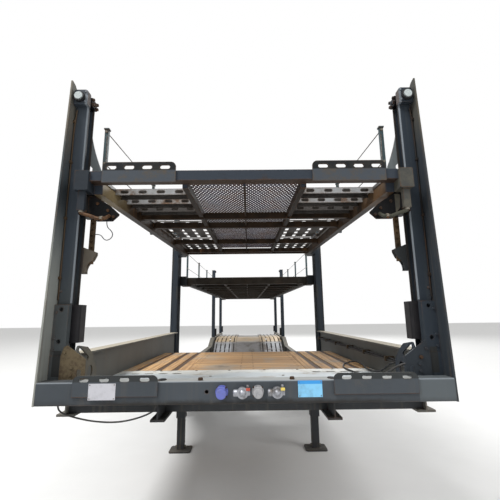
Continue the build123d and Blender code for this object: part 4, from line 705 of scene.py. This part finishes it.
# Air couplings
# Cast alloy palm couplings: head, locking lug and spring cap, one marked red and one yellow.
f = Finish("cast_alloy", Metallic=0.85)
sand = f.noise(120.0, 4.0, 0.6)
grime = f.noise(16.0, 5.0, 0.65)
base = f.mix(grime.ramp(0.45, 0.65), srgb(152, 154, 160), srgb(96, 92, 88))
cast_alloy = f.set(Base_Color=base, Roughness=0.38 + 0.25 * grime,
                   Normal=f.bump(sand + grime * 0.4, 0.35, 0.001))
paint(cast_alloy, "air_couplings")
for name, x, tint in (("red", -0.020, srgb(176, 74, 56)), ("yellow", 0.185, srgb(214, 190, 92))):
    shell = bmesh.new()
    add_turned(shell, spot(x, -0.052, CONNECTOR_Z), (0, -1, 0),
               ((0.0, 0.020), (0.005, 0.020), (0.008, 0.012), (0.012, 0.010)), 24)
    add_turned(shell, spot(x + 0.030, -0.038, 1.176), (0, 0, 1),
               ((0.0, 0.008), (0.022, 0.008), (0.026, 0.005)), 16)
    add_turned(shell, spot(x - 0.012, -0.030, 1.156), (-1, 0, 0),
               ((0.0, 0.019), (0.004, 0.021), (0.040, 0.021), (0.045, 0.014)), 20)
    piece(f"{name}_coupling_parts", shell, cast_alloy, "root", smooth=True)
    shell = bmesh.new()
    add_block(shell, spot(x + 0.020, -0.054, 1.170), spot(x + 0.044, -0.046, 1.186))
    tag = plate_finish(name + "_tag", tint, shade(tint, 0.6))
    piece(f"{name}_coupling_tag", shell, tag, "root", bevel=0.002)

# Free hoses and cables
# The beam cable hangs under the front beam, the deck hose lies loose over the platform, and a thin
# loop hangs at the front deck's left carriage. Their routes are those of the solids.
def black_hose(name, colour, dust_colour):
    """Rubber or plastic sheathing with dust lying on it in patches."""
    f = Finish(name, IOR=1.5)
    dusty = f.noise(22.0, 6.0, 0.7)
    base = f.mix(dusty.ramp(0.42, 0.68) * 0.7, colour, dust_colour)
    return f.set(Base_Color=base, Roughness=0.5 + 0.3 * dusty, Normal=f.bump(dusty, 0.3, 0.001))


def free_cord(name, node, body, route, diameter, material):
    """A cord along its route, given in millimetres, in the place of its solid."""
    places = [spot(x / 1000, s / 1000, z / 1000) for x, s, z in route]
    made = line(name, [places], diameter / 2, material, body)
    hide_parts(node)


free_cord("beam_cable_run", "beam_cable", "root",
          ((-1150, 60, 1085), (-1150, 60, 1052), (-1100, 57, 1026), (-1010, 52, 1003), (-905, 48, 986),
           (-790, 50, 980), (-690, 53, 993), (-600, 57, 1020), (-550, 60, 1050), (-550, 60, 1085)),
          0.010, black_hose("cable_sheath", srgb(24, 24, 26), srgb(70, 66, 60)))
free_cord("deck_hose_run", "deck_hose", "root",
          ((1096, 150, 1290), (1035, 150, 1290), (985, 205, 1252), (966, 335, 1192), (970, 480, 1150),
           (966, 650, 1131), (925, 830, 1128), (893, 1010, 1129), (902, 1190, 1128), (948, 1350, 1130),
           (1020, 1450, 1134), (1086, 1430, 1150), (1108, 1310, 1148), (1092, 1150, 1131),
           (1076, 980, 1128), (1084, 820, 1136), (1086, 690, 1168), (1094, 600, 1216), (1120, 556, 1244),
           (1198, 556, 1244)),
          0.014, black_hose("air_hose", srgb(30, 31, 34), srgb(88, 84, 78)))
free_cord("carriage_loop_run", "carriage_loop", "front_deck",
          ((-950, 107, 2253), (-950, 107, 2215), (-920, 125, 2190), (-925, 165, 2168), (-960, 210, 2152),
           (-1005, 255, 2152), (-1040, 285, 2170), (-1068, 293, 2208), (-1108, 293, 2208)),
          0.006, black_hose("loop_sheath", srgb(30, 32, 38), srgb(62, 62, 66)))

# Brake and light lines
# Two nylon air lines and a sheathed cable run down the right gooseneck rail in sprung clips.
line_nylon = black_hose("line_nylon", srgb(18, 18, 20), srgb(44, 42, 40))
for index, radius in enumerate((0.008, 0.008, 0.006)):
    x, z = 1.150 - 0.019 * (index - 1), 1.250 + 0.012 * (index % 2)
    route = [spot(x, s, z + 0.004 * sin(7.0 * s + index))
             for s in (0.52, 0.9, 1.3, 1.7, 2.1, 2.5, 2.9, 3.3, 3.52)]
    line(f"gooseneck_line_{index + 1}", [route], radius, line_nylon, "root")
shell = bmesh.new()
for s in (0.70, 1.25, 1.80, 2.35, 2.90, 3.40):
    add_block(shell, spot(1.118, s, 1.238), spot(1.190, s + 0.024, 1.274))
piece("gooseneck_line_clips", shell, line_sheath, "root", bevel=0.002)

# Front deck
# A frame of folded side beams and crossmembers, brown and rusty, with painted shade under it and on its inner
# parts, and slatted tracks.
f = Finish("deck_frame_paint", IOR=1.22)
fine = f.noise(38.0, 6.0, 0.65)
runs = f.noise(1.0, 5.0, 0.6, stretch=(3.0, 26.0, 1.2))
patches = f.noise(5.5, 8.0, 0.68)
front = (f.y - FRONT_FACE) < 0.105
base = f.mix(patches.ramp(0.40, 0.60), srgb(52, 38, 26), srgb(32, 25, 19))
base = f.mix(runs.ramp(0.48, 0.68) * 0.6, base, srgb(84, 62, 40))
back = f.y - FRONT_FACE
# Painted light: the side beams are pale olive near the front, where light falls on them
lit_nose = back.ramp(0.30, 0.75, 1.0, 0.0) * (f.x.abs() > 0.9) * (1.0 - front)
base = f.mix(lit_nose * 0.85, base, f.mix(f.x < 0.0, srgb(84, 64, 44), srgb(122, 108, 80)))
rear_grey = f.mix(patches.ramp(0.40, 0.60), srgb(56, 57, 53), srgb(40, 38, 34))
base = f.mix((back > 3.6) * 0.7, base, rear_grey)
shaded = (0.0 - f.up).ramp(0.2, 0.8) * (1.0 - lit_nose)
base = f.mix(shaded * 0.75, base, srgb(26, 21, 18))
# Painted shade on the parts inboard of the side beams
base = f.mix((f.x.abs() < 0.9) * (1.0 - front) * 0.55, base, srgb(28, 21, 15))
base = f.mix(front * (1.0 - 0.5 * patches.ramp(0.58, 0.70)), base, srgb(48, 54, 62))
base = f.mix(front * (f.up < -0.5) * 0.8, base, srgb(60, 45, 33))
rusty = (f.worn_edges() * patches.ramp(0.40, 0.60) * 0.8
         + patches.ramp(0.60, 0.70) * 0.5 * (1.0 - front)).clamp()
base = f.mix(rusty, base, f.mix(fine.ramp(0.3, 0.7), srgb(60, 40, 26), srgb(104, 72, 44)))
deck_steel = f.set(Base_Color=base, Roughness=0.5 + 0.3 * rusty,
                   Normal=f.bump(fine * (0.15 + 0.9 * rusty), 0.35, 0.0025))
paint(deck_steel, "front_deck_frame", "rear_deck_frame")
paint(track_plate("deck_tracks", srgb(154, 156, 158), srgb(114, 108, 100), 0.8, 0.9),
      "front_deck_tracks", "rear_deck_tracks")
f = Finish("deck_hook_paint", IOR=1.22)
patches = f.noise(9.0, 7.0, 0.68)
base = f.mix(f.z.ramp(2.580, 2.590), f.mix(patches.ramp(0.45, 0.65), srgb(64, 69, 75), srgb(76, 70, 62)),
             f.mix(patches.ramp(0.45, 0.65), srgb(24, 26, 28), srgb(38, 38, 36)))
base = f.mix(f.worn_edges() * 0.6, base, srgb(86, 66, 46))
hook_paint = f.set(Base_Color=base, Roughness=0.5 + 0.2 * patches, Normal=f.bump(patches, 0.3, 0.002))
paint(hook_paint, "deck_hook_plates")
paint(painted_steel("rear_carriage_paint", srgb(34, 38, 40), rust_amount=0.4, dust=0.3, streaks=0.3),
      "rear_carriages")
f = Finish("carriage_paint", IOR=1.22)
fine = f.noise(38.0, 6.0, 0.65)
patches = f.noise(6.5, 8.0, 0.68)
runs = f.noise(1.0, 5.0, 0.6, stretch=(26.0, 26.0, 1.2))
back = f.y - FRONT_FACE
pipe = (back < 0.1) * (f.z < 2.3085)
bar = (back > 0.285) * (back < 0.301) * (f.z < 2.505)
# Painted light: the gusset's face is painted pale where light falls on it
lit_gusset = (back > 0.2715) * (back < 0.2825) * (f.z > 2.59)
base = f.mix(patches.ramp(0.4, 0.62) * 0.6, srgb(38, 43, 49), srgb(30, 33, 36))
base = f.mix(runs.ramp(0.55, 0.70) * 0.35, base, srgb(78, 72, 60))
rail = (back > 0.1055) * (back < 0.411) * (f.z > 2.5095) * (f.z < 2.59)
base = f.mix(rail, base, f.mix(patches.ramp(0.4, 0.6), srgb(74, 62, 46), srgb(48, 40, 32)))
# Painted shade: the housings below the rail are painted near black
shaded_housing = (back > 0.1012) * (f.z < 2.5095)
base = f.mix(shaded_housing, base, f.mix(patches.ramp(0.45, 0.65), srgb(10, 11, 13), srgb(20, 19, 19)))
rusty_pipe = f.mix(fine.ramp(0.35, 0.65), srgb(60, 42, 30), srgb(94, 68, 46))
right_box = (f.x > 1.05) * (back < 0.105)
base = f.mix(right_box * 0.7, base, f.mix(patches.ramp(0.4, 0.6), srgb(92, 88, 76), srgb(70, 70, 66)))
base = f.mix(pipe, base, f.mix(f.x < 0.0, srgb(62, 62, 54), rusty_pipe))
base = f.mix(bar * (0.45 + 0.5 * patches.ramp(0.40, 0.60)), base, srgb(92, 76, 58))
base = f.mix(lit_gusset * (0.75 + 0.25 * runs), base, srgb(122, 128, 130))
rusty = (f.worn_edges() * patches.ramp(0.42, 0.62) * 0.8 + patches.ramp(0.64, 0.70) * 0.4).clamp()
base = f.mix(rusty, base, f.mix(fine.ramp(0.3, 0.7), srgb(60, 40, 26), srgb(104, 72, 44)))
carriage_paint = f.set(Base_Color=base, Roughness=0.46 + 0.3 * rusty,
                       Normal=f.bump(fine * (0.15 + 0.9 * rusty), 0.35, 0.0025))
paint(carriage_paint, "front_carriages")

# Carriage details
# Steel bolts hold the housings and cheek plates of the two front carriages,
# and hexagon nuts close the ends of the bent pipe.
for side, hand in SIDES:
    shell = bmesh.new()
    for x in (1.104, 1.146):
        for z in (2.33, 2.49):
            add_bolt(shell, spot(hand * x, 0.112, z), (0, -1, 0), 0.016)
    for x, z in ((1.020, 2.380), (0.945, 2.330), (0.905, 2.285)):
        add_bolt(shell, spot(hand * x, 0.102, z), (0, -1, 0), 0.018)
    piece(f"carriage_bolts_{side}", shell, rusty_iron if side == "left" else black_sheath, "front_deck")
    shell = bmesh.new()
    add_turned(shell, spot(hand * 1.098, 0.035, 2.309), (0, 0, -1), ((0.0, 0.016), (0.014, 0.016)), 6)
    add_turned(shell, spot(hand * 0.968, 0.035, 2.254), (-hand, 0, 0), ((0.0, 0.0165), (0.018, 0.0165)), 6)
    piece(f"pipe_nuts_{side}", shell, zinc, "front_deck")

# Expanded mesh
# Diamond mesh, slit and stretched from thin plate, lies on the stringers of both decks.
# columns: height of the frame's underside, its rise per metre, and the place that height is given for
DECKS = {"front_deck": (2.440, 0.050, 0.0), "rear_deck": (2.140, 0.0226, 3.91)}
STRINGER_TOP, PANEL_HALF, MESH_LIFT = 0.100, 0.42, 0.004


def mesh_height(deck, s):
    height, rise, start = DECKS[deck]
    return height + STRINGER_TOP + rise * (s - start)


def expanded_mesh(shell, deck, start, end, pitch, strand):
    """Strands of one panel: they run between diamond corners, which shift by half a diamond each row."""
    rows = int((end - start) / (pitch[1] / 2))
    columns = int(PANEL_HALF * 2 / pitch[0])
    for row in range(rows):
        s = start + row * pitch[1] / 2
        for column in range(columns):
            x = -PANEL_HALF + (column + 0.5 * (row % 2)) * pitch[0]
            for step in (-1, 1):
                far = x + step * pitch[0] / 2
                if far < -PANEL_HALF - 0.001 or far > PANEL_HALF + 0.001:
                    continue
                low = Vector((x, FRONT_FACE + s, mesh_height(deck, s)))
                high = Vector((far, FRONT_FACE + s + pitch[1] / 2, mesh_height(deck, s + pitch[1] / 2)))
                add_strip(shell, [low, high], strand / 2, MESH_LIFT)


mesh_steel = painted_steel("mesh_steel", srgb(78, 76, 88), rust_amount=0.12, dust=0.15, streaks=0.1)
for deck, start, end, pitch, strand in (("front_deck", 0.12, 3.33, (0.030, 0.066), 0.0122),
                                        ("rear_deck", 4.03, 13.22, (0.040, 0.084), 0.013)):
    shell = bmesh.new()
    expanded_mesh(shell, deck, start, end, pitch, strand)
    panel = piece(f"{deck}_mesh_panel", shell, mesh_steel, deck)
    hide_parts(f"{deck}_mesh")

# Stanchions and side ropes
# Square tube uprights along both decks; a taut wire rope runs through their heads.
tube_paint = painted_steel("stanchion_paint", srgb(62, 78, 82), rust_amount=0.5, dust=0.3, streaks=0.6)
paint(tube_paint, "front_stanchions", "rear_stanchions")
f = Finish("wire_rope", Metallic=0.6)
lay = ((f.y + f.z) * 900.0).sine()
grime = f.noise(30.0, 5.0, 0.6)
base = f.mix(grime.ramp(0.4, 0.65), srgb(96, 92, 88), srgb(58, 46, 36))
rope = f.set(Base_Color=base, Roughness=0.5 + 0.2 * grime, Normal=f.bump(lay, 0.6, 0.001))
STANCHION_X, STANCHION_RISE, ROPE_DROPS, ROPE_RADIUS = 1.138, 0.67, (0.02, 0.30), 0.004
for deck, places in (("front_deck", (0.44, 1.85, 3.25)), ("rear_deck", (4.35, 5.9, 7.45, 9.0, 10.75, 12.3))):
    low, rise, start = DECKS[deck]
    for side, hand in SIDES:
        routes = []
        for drop in ROPE_DROPS:
            routes.append([spot(hand * STANCHION_X, s, low + rise * (s - start) + STANCHION_RISE - drop)
                           for s in places])
        line(f"{deck}_ropes_{side}", routes, ROPE_RADIUS, rope, deck, smooth=False)
        shell = bmesh.new()
        for s in places:
            base_z = low + rise * (s - start)
            for drop in ROPE_DROPS:
                eye = spot(hand * STANCHION_X, s - 0.022, base_z + STANCHION_RISE - drop)
                add_turned(shell, eye, (0, 1, 0), ((0.0, 0.010), (0.044, 0.010)), 12)
            add_bolt(shell, spot(hand * 1.153, s, base_z + 0.08), (hand, 0, 0), 0.014)
        piece(f"{deck}_rope_eyes_{side}", shell, zinc, deck)
for side, hand in SIDES:
    # The ropes come down from the first stanchion to the end of the deck's crossbeam
    stay = [spot(hand * STANCHION_X, 0.44, 3.09), spot(hand * 0.98, 0.10, 2.587)]
    line(f"front_stay_{side}", [stay], ROPE_RADIUS, rope, "front_deck", smooth=False)

# Rear beam, its lamps and the loading ramps
# Lamps sit in recesses of the underrun beam; the ladder ramps are stowed between the rails.
rear_paint = painted_steel("rear_paint", srgb(70, 74, 78), rust_amount=0.7, dust=0.5, streaks=0.8)
paint(rear_paint, "rear_beam")
ramp_paint = painted_steel("ramp_paint", srgb(110, 110, 106), rust_amount=0.9, dust=0.6, streaks=0.6)
paint(ramp_paint, "ramp_left", "ramp_right")
f = Finish("red_lens", IOR=1.5, Coat_Weight=0.7)
flutes = ((f.x * 520.0).sine() + (f.z * 520.0).sine()).ramp(-1.0, 1.5)
amber = ((f.x.abs() - 1.11).abs()).ramp(0.02, 0.025, 1.0, 0.0)
base = f.mix(amber, srgb(150, 22, 18), srgb(206, 118, 34))
paint(f.set(Base_Color=base, Roughness=0.2 + 0.1 * flutes, Normal=f.bump(flutes, 0.4, 0.001)), "rear_lamps")
shell = bmesh.new()
for hand in (-1, 1):
    for centre in (0.90, 1.11):
        for dx in (-0.07, 0.07):
            for dz in (-0.04, 0.04):
                add_turned(shell, spot(hand * centre + dx, 13.696, 0.50 + dz), (0, 1, 0),
                           ((0.0, 0.005), (0.0025, 0.004)), 10)
piece("rear_lamp_screws", shell, zinc, "root")

# Floor and light
# A pale floor that keeps the shadow, a white surround for the camera and three soft lamps.
floor = bpy.data.objects.new("floor", bpy.data.meshes.new("floor"))
shell = bmesh.new()
bmesh.ops.create_grid(shell, x_segments=1, y_segments=1, size=60.0)
shell.to_mesh(floor.data)
scene.collection.objects.link(floor)
f = Finish("floor")
mottle = f.noise(3.0, 4.0)
pale = f.mix(mottle, (0.80, 0.80, 0.79), (0.76, 0.76, 0.75))
floor.data.materials.append(f.set(Base_Color=pale, Roughness=0.85 + 0.1 * mottle))

world = bpy.data.worlds.new("surround")
scene.world = world
world.use_nodes = True
tree = world.node_tree
seen = None
path = tree.nodes.new("ShaderNodeLightPath")
for ray in ("Is Camera Ray", "Is Glossy Ray", "Is Transmission Ray"):
    kind = Value(tree, path.outputs[ray])
    seen = kind if seen is None else seen.max(kind)
background = tree.nodes["Background"]
background.inputs["Color"].default_value = (1.0, 1.0, 1.0, 1.0)
strength = add_node(tree, "ShaderNodeMapRange", {}, {"Value": seen, "To Min": 0.70, "To Max": 1.0})
tree.links.new(strength.socket, background.inputs["Strength"])


def lamp(name, place, aim_at, size, power):
    """A round soft lamp that points at a place."""
    light = bpy.data.lights.new(name, "AREA")
    light.shape = "DISK"
    light.size = size
    light.energy = power
    stand = bpy.data.objects.new(name, light)
    stand.location = place
    stand.rotation_euler = (Vector(aim_at) - Vector(place)).to_track_quat("-Z", "Y").to_euler()
    scene.collection.objects.link(stand)


lamp("key", (-8.0, -12.0, 15.0), (0, -4, 1.5), 6.0, 2600)
lamp("fill", (11.0, -12.0, 8.0), (0, -4, 1.5), 8.0, 600)
lamp("back", (4.0, 16.0, 12.0), (0, 2, 1.5), 8.0, 1500)

# Camera
# It stands 2.2 m in front of the front beam, a little above the platform, and looks slightly up.
camera = bpy.data.objects.new("camera", bpy.data.cameras.new("camera"))
camera.data.lens = 24.84
camera.data.sensor_width = 36.0
camera.data.clip_end = 200.0
PITCH, YAW, ROLL = 10.987, -0.367, -0.64
aim = Euler((radians(90.0 + PITCH), 0.0, radians(YAW))).to_matrix().to_4x4()
camera.matrix_world = (Matrix.Translation((0.0192, FRONT_FACE - 2.1936, 1.596)) @ aim
                       @ Matrix.Rotation(radians(ROLL), 4, "Z"))
scene.collection.objects.link(camera)
scene.camera = camera
